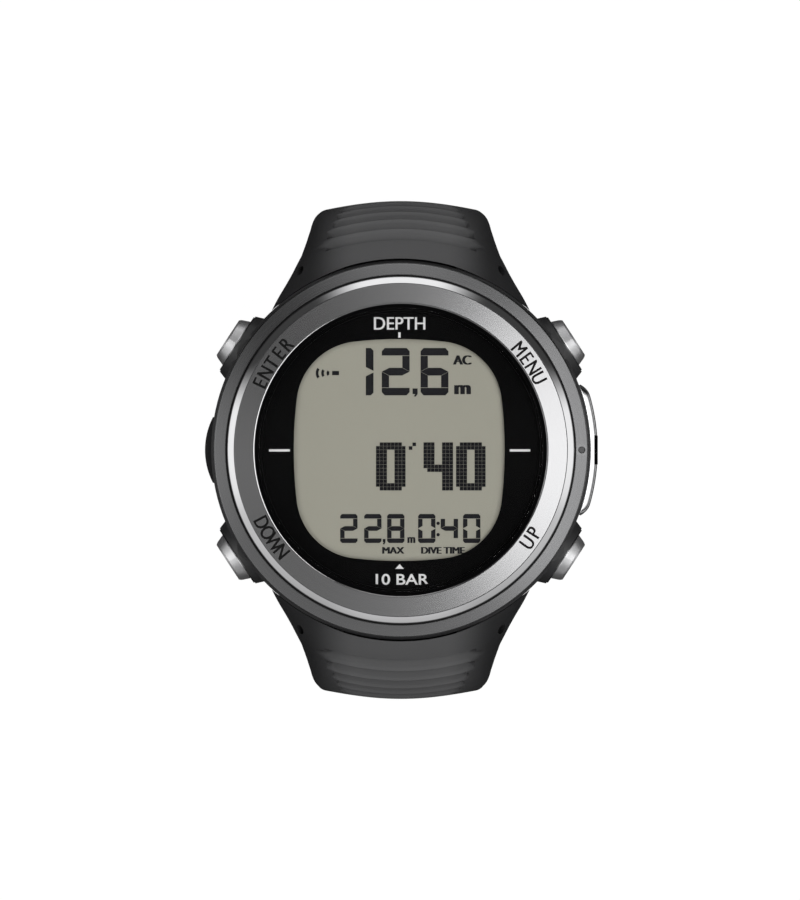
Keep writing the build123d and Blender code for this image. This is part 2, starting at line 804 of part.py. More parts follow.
# ---------------------------------------------------------------- strap
for name, side in (("strap_pin_12", 1), ("strap_pin_6", -1)):
    with BuildPart() as strap_pin:
        with BuildSketch(Plane.YZ.offset(-pivot_len / 2)):
            with Locations((side * pivot_y, pivot_z)):
                Circle(pivot_r)
        extrude(amount=pivot_len)
        chamfer(strap_pin.edges(), 0.15)
    write(strap_pin, name)


def strap_plane(side, x=0.0):
    """The plane of a strap's side view: local x points away from the case, local y is up."""
    return Plane(origin=(x, 0, 0), x_dir=(0, side, 0), z_dir=(side, 0, 0))


def strap_runs(slope, side_bend, low_bend, level, flat):
    """A strap's arcs (radius, degrees) and straight lengths from its outermost point to its end."""
    lean = math.radians(slope)
    drop = hip_z - level - side_bend * math.sin(lean) - low_bend * (1 - math.sin(lean))
    return [(side_bend, slope), drop / math.cos(lean), (low_bend, 90 - slope), flat]


def strap_face(runs, inset):
    """Draws one face of a strap below its outermost point; the inset makes it parallel."""
    drawn = []
    spot = Vector(strap_reach - inset, hip_z)
    heading = Vector(0, -1)
    for run in runs:
        if isinstance(run, tuple):
            step = JernArc(spot, heading, run[0] - inset, -run[1])
        else:
            step = Line(spot, spot + heading.normalized() * run)
        spot = step @ 1
        heading = step % 1
        drawn.append(step)
    return drawn


def shoulder(side):
    """The strap's end at the case: a band over the lug, two cheeks on the pin and two horns."""
    bend_u = strap_reach - strap_bend_r
    view = strap_plane(side)
    with BuildSketch(view) as band:
        with Locations((bend_u, hip_z)):
            Circle(strap_bend_r)
            Circle(strap_bend_r - strap_t, mode=Mode.SUBTRACT)
        with Locations((bend_u + strap_bend_r, (hip_z + strap_top) / 2)):
            Rectangle(2 * strap_bend_r, strap_top - hip_z, mode=Mode.INTERSECT)
    extrude(band.sketch, amount=horn_half_w, both=True)
    cheek_in = lug_half_w + sweep_gap
    cheek_top = math.radians(43)
    for x in (cheek_in, -horn_half_w):
        with BuildSketch(strap_plane(side, x)) as cheek:
            with BuildLine():
                Polyline(
                    (bend_u, pivot_z + 2.5),
                    (pivot_y - 2.0, pivot_z + 1.5),
                    (pivot_y, pivot_z - cheek_r),
                    (strap_reach - strap_t, hip_z),
                    (strap_reach - 1, hip_z),
                    (
                        bend_u + (strap_bend_r - 1) * math.cos(cheek_top),
                        hip_z + (strap_bend_r - 1) * math.sin(cheek_top),
                    ),
                    (bend_u + strap_t * 2, strap_top),
                    (bend_u, strap_top),
                    close=True,
                )
            make_face()
        extrude(cheek.sketch, amount=(horn_half_w - cheek_in) * side)
    # Seen from above it narrows from the horns to the strap's width
    horn_u = math.sqrt(strap_clear_r**2 - horn_half_w**2)
    half = [
        (horn_u - 1, horn_half_w),
        (horn_u, horn_half_w),
        ((horn_u + pivot_y) / 2, (horn_half_w + cheek_half_w) / 2 - 0.5),
        (pivot_y, cheek_half_w),
        (pivot_y + waist_len, cheek_half_w - waist_in),
        (pivot_y + taper_len, cheek_half_w - taper_in),
        (strap_reach - 0.6, strap_half_w),
        (strap_reach + 1, strap_half_w - 0.8),
    ]
    with BuildSketch(Plane.XY.offset(hip_z - 1)) as plan:
        with BuildLine():
            Polyline(
                *[(x, side * u) for u, x in half],
                *[(-x, side * u) for u, x in reversed(half)],
                close=True,
            )
        make_face()
        Circle(strap_clear_r, mode=Mode.SUBTRACT)
    extrude(plan.sketch, amount=strap_top, mode=Mode.INTERSECT)
    for x0, x1 in ((cheek_in, cheek_half_w), (-cheek_half_w, -cheek_in)):
        with BuildSketch(Plane.YZ.offset(x0)) as barrel:
            with Locations((side * pivot_y, pivot_z)):
                Circle(cheek_r)
        extrude(barrel.sketch, amount=x1 - x0)
    with BuildSketch(Plane.YZ.offset(-horn_half_w)) as bore:
        with Locations((side * pivot_y, pivot_z)):
            Circle(pivot_r + run_gap)
    extrude(bore.sketch, amount=2 * horn_half_w, mode=Mode.SUBTRACT)
    # Flutes across the bend
    reach = strap_bend_r + flute_r - flute_depth
    with BuildSketch(view) as flutes:
        for step in range(flute_count):
            a = math.radians(flute_first_deg + step * flute_deg)
            with Locations((bend_u + reach * math.cos(a), hip_z + reach * math.sin(a))):
                Circle(flute_r)
    extrude(flutes.sketch, amount=flute_half_len, both=True, mode=Mode.SUBTRACT)


tail_runs = strap_runs(tail_slope, side_bend_r, tail_bend_r, 0.0, tail_flat)
with BuildPart() as tail_strap:
    shoulder(-1)
    with BuildSketch(strap_plane(-1)):
        with BuildLine():
            tail_out = strap_face(tail_runs, 0)
            tail_in = strap_face(tail_runs, strap_t)
            Line(tail_out[0] @ 0, tail_in[0] @ 0)
            Line(tail_out[-1] @ 1, tail_in[-1] @ 1)
        make_face()
    extrude(amount=strap_half_w, both=True)
    tip_y = -(tail_out[-1] @ 1).X
    fillet(tail_strap.edges().filter_by(Axis.Z).sort_by(Axis.Y)[-2:], strap_tip_r)
    with BuildSketch():
        for step in range(hole_count):
            with Locations((0, tip_y - hole_first - step * hole_pitch)):
                SlotOverall(hole_len, hole_w)
    extrude(amount=strap_t, mode=Mode.SUBTRACT)
write(tail_strap, "tail_strap")

buckle_runs = strap_runs(buckle_slope, buckle_side_bend_r, buckle_bend_r, buckle_level, buckle_flat)
with BuildPart() as buckle_strap:
    shoulder(1)
    with BuildSketch(strap_plane(1)):
        with BuildLine():
            buckle_out = strap_face(buckle_runs, 0)
            buckle_in = strap_face(buckle_runs, strap_t)
            Line(buckle_out[0] @ 0, buckle_in[0] @ 0)
            Line(buckle_out[-1] @ 1, buckle_in[-1] @ 1)
        make_face()
    extrude(amount=strap_half_w, both=True)
    pin_y = (buckle_out[-1] @ 1).X
    pin_z = buckle_level + strap_t / 2
    with BuildSketch(Plane.YZ.offset(-strap_half_w)):
        with Locations((pin_y, pin_z)):
            Circle(strap_t / 2)
    extrude(amount=2 * strap_half_w)
    with BuildSketch(Plane.YZ.offset(-strap_half_w)):
        with Locations((pin_y, pin_z)):
            Circle(buckle_pin_r)
    extrude(amount=2 * strap_half_w, mode=Mode.SUBTRACT)
    slot_x = tongue_w / 2 + sweep_gap
    slab(
        -slot_x, slot_x, pin_y - strap_t, pin_y + strap_t / 2 + 2 * sweep_gap,
        buckle_level - 1, buckle_level + strap_t + 1, Mode.SUBTRACT,
    )
write(buckle_strap, "buckle_strap")

# ---------------------------------------------------------------- keepers and buckle
keeper_half_w = strap_half_w + keeper_free
keeper_out = keeper_half_w + keeper_wall
keeper_top = buckle_level + strap_t


def keeper(middle_y, grip):
    """A loop round the strap and the tail under it; the grip closes its gap to the strap."""
    room_top = keeper_top + keeper_free - grip
    room_low = keeper_top - 2 * strap_t - 2 * keeper_free
    slab(
        -keeper_out, keeper_out, middle_y - keeper_len / 2, middle_y + keeper_len / 2,
        room_low - keeper_wall, room_top + keeper_wall,
    )
    corners = edges().filter_by(Axis.Y)
    fillet(corners, keeper_wall)
    slab(
        -keeper_half_w, keeper_half_w, middle_y - keeper_len, middle_y + keeper_len,
        room_low, room_top, Mode.SUBTRACT,
    )


with BuildPart() as fixed_keeper:
    keeper(pin_y + fixed_keeper_at, keeper_free)
write(fixed_keeper, "fixed_keeper")

with BuildPart() as free_keeper:
    keeper(pin_y + free_keeper_at, 0)
write(free_keeper, "free_keeper")

arm_in = strap_half_w + sweep_gap
arm_out = arm_in + frame_arm_w
bar_far = pin_y - frame_reach - frame_bar_w
with BuildPart() as buckle_frame:
    with BuildSketch(Plane.XY.offset(pin_z - frame_bar_t / 2)):
        with Locations((0, (pin_y + bar_far) / 2)):
            Rectangle(2 * arm_out, pin_y - bar_far)
        fillet(vertices().group_by(Axis.Y)[0], frame_corner_r)
        with Locations((0, (pin_y + bar_far + 2 * frame_bar_w) / 2)):
            Rectangle(2 * arm_in, pin_y - bar_far, mode=Mode.SUBTRACT)
    extrude(amount=frame_bar_t)
    for x in (arm_in, -arm_out):
        with BuildSketch(Plane.YZ.offset(x)):
            with Locations((pin_y, pin_z)):
                Circle(frame_bar_t / 2 + frame_eye)
        extrude(amount=frame_arm_w)
    with BuildSketch(Plane.YZ.offset(-arm_out)):
        with Locations((pin_y, pin_z)):
            Circle(buckle_pin_r + run_gap)
    extrude(amount=2 * arm_out, mode=Mode.SUBTRACT)
write(buckle_frame, "buckle_frame")

with BuildPart() as buckle_pin:
    with BuildSketch(Plane.YZ.offset(0.1 - arm_out)):
        with Locations((pin_y, pin_z)):
            Circle(buckle_pin_r)
    extrude(amount=2 * arm_out - 0.2)
write(buckle_pin, "buckle_pin")

tongue_top = pin_z - frame_bar_t / 2 - 0.05
with BuildPart() as buckle_tongue:
    with BuildSketch(Plane.YZ.offset(-tongue_w / 2)):
        with Locations((pin_y, pin_z)):
            Circle(strap_t / 2)
        with Locations(((pin_y + bar_far - tongue_past) / 2, tongue_top - tongue_t / 2)):
            Rectangle(pin_y - bar_far + tongue_past, tongue_t)
        with Locations((pin_y, pin_z)):
            Circle(buckle_pin_r + run_gap, mode=Mode.SUBTRACT)
    extrude(amount=tongue_w)
write(buckle_tongue, "buckle_tongue")
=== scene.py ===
import json
import math

import bpy
from mathutils import Matrix, Vector


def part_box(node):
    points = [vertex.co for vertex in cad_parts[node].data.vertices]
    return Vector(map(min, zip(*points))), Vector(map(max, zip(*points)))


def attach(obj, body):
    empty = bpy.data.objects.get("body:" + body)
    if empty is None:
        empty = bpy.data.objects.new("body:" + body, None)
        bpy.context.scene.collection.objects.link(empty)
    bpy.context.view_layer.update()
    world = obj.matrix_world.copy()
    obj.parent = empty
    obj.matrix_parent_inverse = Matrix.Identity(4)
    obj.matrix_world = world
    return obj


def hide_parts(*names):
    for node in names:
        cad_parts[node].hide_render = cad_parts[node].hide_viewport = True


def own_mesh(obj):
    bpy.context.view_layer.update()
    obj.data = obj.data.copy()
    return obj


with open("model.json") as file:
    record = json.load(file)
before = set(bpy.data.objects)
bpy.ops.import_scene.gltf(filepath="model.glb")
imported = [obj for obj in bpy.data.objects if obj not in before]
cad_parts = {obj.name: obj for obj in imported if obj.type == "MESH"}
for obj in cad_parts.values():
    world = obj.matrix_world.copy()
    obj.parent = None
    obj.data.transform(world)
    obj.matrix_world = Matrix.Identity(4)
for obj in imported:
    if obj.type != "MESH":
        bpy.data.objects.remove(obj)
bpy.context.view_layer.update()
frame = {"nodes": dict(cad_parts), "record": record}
nodes = frame["nodes"]
MM = 0.001

# ---------------------------------------------------------------- sizes read from the frame, in mm
def low_high(node):
    """A node's lowest and highest corners in millimetres."""
    low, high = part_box(node)
    return low / MM, high / MM


BEZEL_TOP = low_high("bezel")[1].z
BEZEL_R = low_high("bezel")[1].x
BEZEL_W = 3.5  # from the bezel's outer edge to its inner one
BEZEL_LIP = 0.2  # rounded inner edge of the bezel
CASE_R = low_high("case_ring")[1].x + 0.3  # the ring sits 0.3 inside the case body
BACK_Z = low_high("case_back")[0].z
LCD_TOP = low_high("lcd_panel")[1].z
MASK_TOP = low_high("dial_mask")[1].z
BEVEL_W = 0.9  # polished bevel round the bezel's face
FACE_DROP = 0.3  # the bezel's face falls outwards by this much
REACH = low_high("tail_strap")[0].y * -1
TIP_Y = low_high("tail_strap")[1].y
CRYSTAL_R = low_high("crystal")[1].x


# ---------------------------------------------------------------- small tools
def only(*objects):
    """Selects these objects alone and makes the first one active."""
    bpy.ops.object.select_all(action="DESELECT")
    for each in objects:
        each.select_set(True)
    bpy.context.view_layer.objects.active = objects[0]


def mesh_piece(name, points, faces):
    """A new mesh object from points in millimetres."""
    mesh = bpy.data.meshes.new(name)
    mesh.from_pydata([(x * MM, y * MM, z * MM) for x, y, z in points], [], faces)
    mesh.validate()
    piece = bpy.data.objects.new(name, mesh)
    bpy.context.scene.collection.objects.link(piece)
    return piece


def settle(piece, name):
    """Puts an object's place into its mesh and names it."""
    only(piece)
    bpy.ops.object.transform_apply(location=True, rotation=True, scale=True)
    piece.name = name
    piece.data.name = name
    return piece


def face_outwards(piece):
    """Merges doubles and turns every face outwards."""
    only(piece)
    bpy.ops.object.mode_set(mode="EDIT")
    bpy.ops.mesh.select_all(action="SELECT")
    bpy.ops.mesh.remove_doubles(threshold=1e-6)
    bpy.ops.mesh.normals_make_consistent(inside=False)
    bpy.ops.object.mode_set(mode="OBJECT")


def smooth(piece, degrees=35):
    """Smooth shading that keeps edges sharper than an angle."""
    only(piece)
    bpy.ops.object.shade_smooth_by_angle(angle=math.radians(degrees))


def use(piece, modifier, **settings):
    """Adds a modifier, sets it and applies it."""
    added = piece.modifiers.new(modifier.lower(), modifier)
    for key, value in settings.items():
        setattr(added, key, value)
    only(piece)
    bpy.ops.object.modifier_apply(modifier=added.name)


def cut(piece, cutter):
    """Cuts one object out of another and removes the cutter."""
    use(piece, "BOOLEAN", object=cutter, operation="DIFFERENCE", solver="EXACT")
    bpy.data.objects.remove(cutter)


def block(name, size, middle):
    """A box from its three sizes and its middle, in millimetres."""
    bpy.ops.object.select_all(action="DESELECT")
    bpy.ops.mesh.primitive_cube_add(size=1, location=[value * MM for value in middle])
    bpy.context.object.scale = [value * MM for value in size]
    return settle(bpy.context.object, name)


def peg(name, radius, length, middle, vertices=40, turn_y=0.0, widen=1.0):
    """A cylinder from its radius, length and middle in millimetres, turned about Y and widened along X."""
    bpy.ops.object.select_all(action="DESELECT")
    bpy.ops.mesh.primitive_cylinder_add(
        vertices=vertices, radius=radius * MM, depth=length * MM,
        location=[value * MM for value in middle], rotation=(0, turn_y, 0),
    )
    bpy.context.object.scale = (widen, 1, 1)
    return settle(bpy.context.object, name)


def dress(piece, material):
    """Gives a piece one material."""
    piece.data.materials.clear()
    piece.data.materials.append(material)


def finish_piece(piece, body, slot, material, *replaced):
    """Dresses a piece, hangs it on the empty of the body it rides on, and hides the parts it replaces."""
    dress(piece, material)
    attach(piece, body)
    if replaced:
        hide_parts(*replaced)
    return piece


# ---------------------------------------------------------------- shader groups
def new_group(name, inputs, outputs):
    """An empty shader group with value sockets: its tree, its input node and its output node."""
    group = bpy.data.node_groups.new(name, "ShaderNodeTree")
    for label, default in inputs:
        socket = group.interface.new_socket(label, in_out="INPUT", socket_type="NodeSocketFloat")
        socket.default_value = default
    for label in outputs:
        group.interface.new_socket(label, in_out="OUTPUT", socket_type="NodeSocketFloat")
    return group, group.nodes.new("NodeGroupInput"), group.nodes.new("NodeGroupOutput")


def link_math(tree, operation, a, b=None):
    """Adds a Math node fed by sockets or plain numbers and returns its output."""
    node = tree.nodes.new("ShaderNodeMath")
    node.operation = operation
    for socket, value in zip(node.inputs, (a, b)):
        if value is None:
            continue
        if isinstance(value, (int, float)):
            socket.default_value = value
        else:
            tree.links.new(value, socket)
    return node.outputs[0]


def object_noise(tree, scale):
    """A noise texture on Object coordinates, its scale fed by a socket."""
    place = tree.nodes.new("ShaderNodeTexCoord")
    noise = tree.nodes.new("ShaderNodeTexNoise")
    noise.inputs["Detail"].default_value = 3.0
    tree.links.new(place.outputs["Object"], noise.inputs["Vector"])
    tree.links.new(scale, noise.inputs["Scale"])
    return noise.outputs["Fac"]


def build_grain():
    """Moulded-skin grain: a fine height and a slow mottling."""
    group, takes, gives = new_group(
        "Moulded grain", [("Fine scale", 9000.0), ("Slow scale", 160.0)], ["Height", "Mottle"]
    )
    group.links.new(object_noise(group, takes.outputs["Fine scale"]), gives.inputs["Height"])
    group.links.new(object_noise(group, takes.outputs["Slow scale"]), gives.inputs["Mottle"])
    return group


def build_turning():
    """Turned-metal lines: rings about the case axis, broken up along their length."""
    group, takes, gives = new_group(
        "Turned lines", [("Lines per metre", 14000.0), ("Run", 5.0)], ["Lines", "Radius"]
    )
    place = group.nodes.new("ShaderNodeTexCoord")
    split = group.nodes.new("ShaderNodeSeparateXYZ")
    group.links.new(place.outputs["Object"], split.inputs[0])
    x, y, z = split.outputs
    squares = link_math(group, "ADD", link_math(group, "MULTIPLY", x, x), link_math(group, "MULTIPLY", y, y))
    radius = link_math(group, "SQRT", squares)
    angle = link_math(group, "ARCTAN2", y, x)
    around = link_math(group, "MULTIPLY", link_math(group, "SINE", angle), takes.outputs["Run"])
    across = link_math(group, "MULTIPLY", link_math(group, "COSINE", angle), takes.outputs["Run"])
    out = link_math(group, "MULTIPLY", link_math(group, "ADD", radius, z), takes.outputs["Lines per metre"])
    join = group.nodes.new("ShaderNodeCombineXYZ")
    group.links.new(out, join.inputs[0])
    group.links.new(around, join.inputs[1])
    group.links.new(across, join.inputs[2])
    noise = group.nodes.new("ShaderNodeTexNoise")
    noise.inputs["Scale"].default_value = 1.0
    noise.inputs["Detail"].default_value = 4.0
    group.links.new(join.outputs[0], noise.inputs["Vector"])
    group.links.new(noise.outputs["Fac"], gives.inputs["Lines"])
    group.links.new(radius, gives.inputs["Radius"])
    return group


GRAIN = build_grain()
TURNING = build_turning()


# ---------------------------------------------------------------- materials
def new_material(name, **settings):
    """A Principled material; keyword names are its sockets with _ for a space."""
    material = bpy.data.materials.new(name)
    material.use_nodes = True
    tree = material.node_tree
    shader = tree.nodes["Principled BSDF"]
    for key, value in settings.items():
        shader.inputs[key.replace("_", " ")].default_value = value
    return material, tree, shader


def add_group(tree, group, **values):
    """Adds a shader group; keyword names are its sockets with _ for a space."""
    node = tree.nodes.new("ShaderNodeGroup")
    node.node_tree = group
    for key, value in values.items():
        node.inputs[key.replace("_", " ")].default_value = value
    return node


def span(tree, source, low, high):
    """Maps 0..1 onto low..high."""
    return fade_between(tree, source, 0.0, 1.0, low, high)


def fade_between(tree, source, source_low, source_high, low, high, soft=False):
    """Maps source_low..source_high onto low..high, and stays level outside."""
    node = tree.nodes.new("ShaderNodeMapRange")
    if soft:
        node.interpolation_type = "SMOOTHSTEP"
    for label, value in (("From Min", source_low), ("From Max", source_high), ("To Min", low), ("To Max", high)):
        node.inputs[label].default_value = value
    tree.links.new(source, node.inputs["Value"])
    return node.outputs["Result"]


def mix_colours(tree, fac, first, second):
    """Mixes two colours, each a plain colour or a socket."""
    node = tree.nodes.new("ShaderNodeMix")
    node.data_type = "RGBA"
    tree.links.new(fac, node.inputs["Factor"])
    for label, colour in (("A", first), ("B", second)):
        if isinstance(colour, tuple):
            node.inputs[label].default_value = (*colour, 1)
        else:
            tree.links.new(colour, node.inputs[label])
    return node.outputs["Result"]


def bump(tree, shader, height, distance, strength):
    """Feeds a height to the shader's normal."""
    node = tree.nodes.new("ShaderNodeBump")
    node.inputs["Distance"].default_value = distance
    node.inputs["Strength"].default_value = strength
    tree.links.new(height, node.inputs["Height"])
    tree.links.new(node.outputs["Normal"], shader.inputs["Normal"])


def moulded(name, dark, light, rough, grain_mm, fine=9000.0, slow=160.0, **settings):
    """Moulded plastic or rubber: mottled colour, roughness and a fine grain."""
    material, tree, shader = new_material(name, **settings)
    grain = add_group(tree, GRAIN, Fine_scale=fine, Slow_scale=slow)
    tree.links.new(mix_colours(tree, grain.outputs["Mottle"], dark, light), shader.inputs["Base Color"])
    tree.links.new(span(tree, grain.outputs["Mottle"], rough - 0.05, rough + 0.05), shader.inputs["Roughness"])
    bump(tree, shader, grain.outputs["Height"], grain_mm * MM, 0.6)
    return material


def turned_metal(name, dark, light, rough_low, rough_high, line_mm, lines=14000.0):
    """Metal with fine turning lines about the case axis."""
    material, tree, shader = new_material(name, Metallic=1.0)
    streak = add_group(tree, TURNING, Lines_per_metre=lines, Run=5.0).outputs["Lines"]
    tree.links.new(mix_colours(tree, streak, dark, light), shader.inputs["Base Color"])
    tree.links.new(span(tree, streak, rough_low, rough_high), shader.inputs["Roughness"])
    bump(tree, shader, streak, line_mm * MM, 0.5)
    return material


def bezel_metal():
    """The bezel: finely brushed on its face, polished on its bevel and inner edge."""
    material, tree, shader = new_material("Bezel steel", Metallic=1.0)
    turning = add_group(tree, TURNING, Lines_per_metre=26000.0, Run=1.2)
    radius = turning.outputs["Radius"]
    inside = link_math(tree, "LESS_THAN", radius, (BEZEL_R - BEVEL_W) * MM)
    outside = link_math(tree, "GREATER_THAN", radius, (BEZEL_R - BEZEL_W + BEZEL_LIP) * MM)
    brushed = link_math(tree, "MULTIPLY", inside, outside)
    tint = mix_colours(tree, turning.outputs["Lines"], (0.27, 0.27, 0.273), (0.31, 0.31, 0.313))
    tree.links.new(mix_colours(tree, brushed, (0.36, 0.36, 0.364), tint), shader.inputs["Base Color"])
    rough = link_math(tree, "MULTIPLY", brushed, span(tree, turning.outputs["Lines"], 0.17, 0.2))
    tree.links.new(link_math(tree, "ADD", rough, 0.07), shader.inputs["Roughness"])
    bump(tree, shader, link_math(tree, "MULTIPLY", brushed, turning.outputs["Lines"]), 0.002 * MM, 0.4)
    return material


def strap_rubber():
    """Strap elastomer, matt; its colour carries painted shade, paler on the crown and darker down the flanks."""
    material, tree, shader = new_material("Strap rubber", Specular_IOR_Level=0.3)
    grain = add_group(tree, GRAIN, Fine_scale=5200.0, Slow_scale=140.0)
    place = tree.nodes.new("ShaderNodeTexCoord")
    split = tree.nodes.new("ShaderNodeSeparateXYZ")
    tree.links.new(place.outputs["Object"], split.inputs[0])
    aside = link_math(tree, "ABSOLUTE", split.outputs["X"])
    # Painted shade: the colour fades from the crown's grey to near black between 5.5 and 12 mm out from the
    # middle, standing in for the shade down the flanks.
    flank = fade_between(tree, aside, 5.5 * MM, 12.0 * MM, 0.0, 1.0, soft=True)
    crown = mix_colours(tree, grain.outputs["Mottle"], (0.094, 0.094, 0.096), (0.106, 0.106, 0.108))
    colour = mix_colours(tree, flank, crown, (0.024, 0.024, 0.025))
    tree.links.new(colour, shader.inputs["Base Color"])
    tree.links.new(span(tree, grain.outputs["Mottle"], 0.46, 0.56), shader.inputs["Roughness"])
    bump(tree, shader, grain.outputs["Height"], 0.012 * MM, 0.6)
    return material


def clear_crystal():
    """Clear crystal: light passes straight through, and the surface still mirrors."""
    material = bpy.data.materials.new("Clear crystal")
    material.use_nodes = True
    tree = material.node_tree
    tree.nodes.remove(tree.nodes["Principled BSDF"])
    through = tree.nodes.new("ShaderNodeBsdfTransparent")
    mirror = tree.nodes.new("ShaderNodeBsdfGlossy")
    mirror.inputs["Roughness"].default_value = 0.02
    fresnel = tree.nodes.new("ShaderNodeFresnel")
    fresnel.inputs["IOR"].default_value = 1.25
    side = tree.nodes.new("ShaderNodeNewGeometry")
    outer = link_math(tree, "SUBTRACT", 1.0, side.outputs["Backfacing"])
    mix = tree.nodes.new("ShaderNodeMixShader")
    tree.links.new(link_math(tree, "MULTIPLY", fresnel.outputs[0], outer), mix.inputs[0])
    tree.links.new(through.outputs[0], mix.inputs[1])
    tree.links.new(mirror.outputs[0], mix.inputs[2])
    tree.links.new(mix.outputs[0], tree.nodes["Material Output"].inputs["Surface"])
    return material


# Strap rubber, with painted shade down its flanks.
STRAP_RUBBER = strap_rubber()
CASE_BLACK = moulded("Case moulding", (0.028, 0.028, 0.029), (0.038, 0.038, 0.039), 0.42, 0.015, 7000.0, 200.0)
BUMPER_BLACK = moulded("Bumper moulding", (0.012, 0.012, 0.013), (0.018, 0.018, 0.019), 0.2, 0.004)
SEAL_BLACK = moulded(
    "Seal rubber", (0.006, 0.006, 0.006), (0.009, 0.009, 0.009), 0.6, 0.004, Specular_IOR_Level=0.15
)
DIAL_BLACK = moulded(
    "Dial ink", (0.0006, 0.0006, 0.0008), (0.001, 0.001, 0.0012), 0.5, 0.001, Specular_IOR_Level=0.03
)
CHIP_BLACK = moulded("Chip moulding", (0.015, 0.015, 0.016), (0.03, 0.03, 0.032), 0.5, 0.01)
FRAME_WHITE = moulded("Module frame", (0.55, 0.55, 0.52), (0.66, 0.66, 0.63), 0.4, 0.01)
BOARD_GREEN = moulded("Solder mask", (0.01, 0.10, 0.045), (0.02, 0.15, 0.06), 0.28, 0.01, 3000.0, 600.0)
BACKLIGHT_WHITE = moulded("Diffuser film", (0.7, 0.72, 0.7), (0.8, 0.82, 0.8), 0.5, 0.005)
LCD_FACE = moulded(
    "Display glass", (0.378, 0.368, 0.306), (0.404, 0.394, 0.328), 0.55, 0.001, 20000.0, 90.0,
    Specular_IOR_Level=0.2,
)
LCD_INK = moulded(
    "Display segments", (0.010, 0.010, 0.012), (0.015, 0.015, 0.018), 0.6, 0.001, Specular_IOR_Level=0.1
)
LCD_DOT = moulded(
    "Display dots", (0.006, 0.006, 0.008), (0.010, 0.010, 0.012), 0.6, 0.001, Specular_IOR_Level=0.1
)
WHITE_INK = moulded("White print", (0.78, 0.78, 0.78), (0.88, 0.88, 0.88), 0.5, 0.002)
BLACK_INK = moulded(
    "Black print", (0.004, 0.004, 0.004), (0.007, 0.007, 0.007), 0.5, 0.001, Specular_IOR_Level=0.1
)
BEZEL_STEEL = bezel_metal()
RING_STEEL = turned_metal("Ring steel", (0.122, 0.122, 0.124), (0.146, 0.146, 0.148), 0.24, 0.3, 0.001)
BUTTON_STEEL = turned_metal("Button steel", (0.86, 0.86, 0.87), (0.94, 0.94, 0.95), 0.36, 0.44, 0.001)
BRUSHED_STEEL = turned_metal("Brushed steel", (0.48, 0.48, 0.49), (0.6, 0.6, 0.61), 0.24, 0.36, 0.004, 9000.0)
POLISHED_STEEL = turned_metal("Polished steel", (0.76, 0.76, 0.77), (0.82, 0.82, 0.83), 0.06, 0.1, 0.001)
NICKEL_CAN = turned_metal("Nickel can", (0.55, 0.55, 0.54), (0.66, 0.66, 0.65), 0.22, 0.32, 0.003, 6000.0)
GOLD_PLATE = turned_metal("Gold plate", (0.75, 0.52, 0.2), (0.85, 0.62, 0.26), 0.2, 0.3, 0.002)
CRYSTAL_CLEAR = clear_crystal()

BY_SLOT = {
    "case_black": CASE_BLACK,
    "bumper_black": BUMPER_BLACK,
    "ring_satin": RING_STEEL,
    "steel_brushed": BRUSHED_STEEL,
    "steel_polished": POLISHED_STEEL,
    "button_steel": BUTTON_STEEL,
    "rubber_black": SEAL_BLACK,
    "strap_rubber": STRAP_RUBBER,
    "crystal_glass": CRYSTAL_CLEAR,
    "dial_black": DIAL_BLACK,
    "lcd_grey": LCD_FACE,
    "backlight_white": BACKLIGHT_WHITE,
    "frame_white": FRAME_WHITE,
    "board_green": BOARD_GREEN,
    "chip_black": CHIP_BLACK,
    "contact_gold": GOLD_PLATE,
    "battery_steel": NICKEL_CAN,
}
for part in frame["record"]["subparts"]:
    dress(nodes[part["node"]], BY_SLOT[part["material_slot"]])
dress(nodes["bezel"], BEZEL_STEEL)
dress(nodes["crystal_gasket"], DIAL_BLACK)


# ---------------------------------------------------------------- bezel
TURN_STEPS = 192


def turned_piece(name, outline):
    """Spins a closed (radius, height) outline in millimetres round the case axis."""
    mesh = bpy.data.meshes.new(name)
    count = len(outline)
    mesh.from_pydata([(r * MM, 0, z * MM) for r, z in outline], [(i, (i + 1) % count) for i in range(count)], [])
    piece = bpy.data.objects.new(name, mesh)
    bpy.context.scene.collection.objects.link(piece)
    only(piece)
    bpy.ops.object.mode_set(mode="EDIT")
    bpy.ops.mesh.select_all(action="SELECT")
    bpy.ops.mesh.spin(steps=TURN_STEPS, angle=math.tau, center=(0, 0, 0), axis=(0, 0, 1))
    bpy.ops.object.mode_set(mode="OBJECT")
    face_outwards(piece)
    return piece


def build_bezel():
    """The bezel with a hairline between its brushed face and its polished bevel."""
    low, high = low_high("bezel")
    inner = BEZEL_R - BEZEL_W
    edge = BEZEL_R - BEVEL_W + 0.03
    start = inner + BEZEL_LIP
    face_z = high.z - FACE_DROP

    def on_face(r):
        return r, high.z - 0.01 - (FACE_DROP - 0.01) * (r - start) / (edge - start)

    outline = [
        (inner, low.z + 0.5), (inner, high.z - 0.2), (inner + 0.03, high.z - 0.1), (inner + 0.1, high.z - 0.03),
        on_face(start), on_face(start + 0.05), on_face(edge - 0.08), on_face(edge - 0.04),
        (edge - 0.02, face_z - 0.05), (edge + 0.04, face_z - 0.05), (edge + 0.06, face_z - 0.01),
        (edge + 0.1, face_z - 0.02), (BEZEL_R - 0.13, face_z - 0.235), (BEZEL_R - 0.09, face_z - 0.25),
        (BEZEL_R - 0.03, face_z - 0.31), (BEZEL_R, face_z - 0.42), (BEZEL_R, face_z - 0.6),
        (BEZEL_R, low.z), (BEZEL_R - BEVEL_W, low.z), (BEZEL_R - BEVEL_W, low.z + 0.5),
    ]
    piece = turned_piece("bezel_turned", outline)
    smooth(piece, 24)
    finish_piece(piece, "case", "steel_brushed", BEZEL_STEEL, "bezel")


RING_GAP = 0.2  # black line between the bezel and the ring


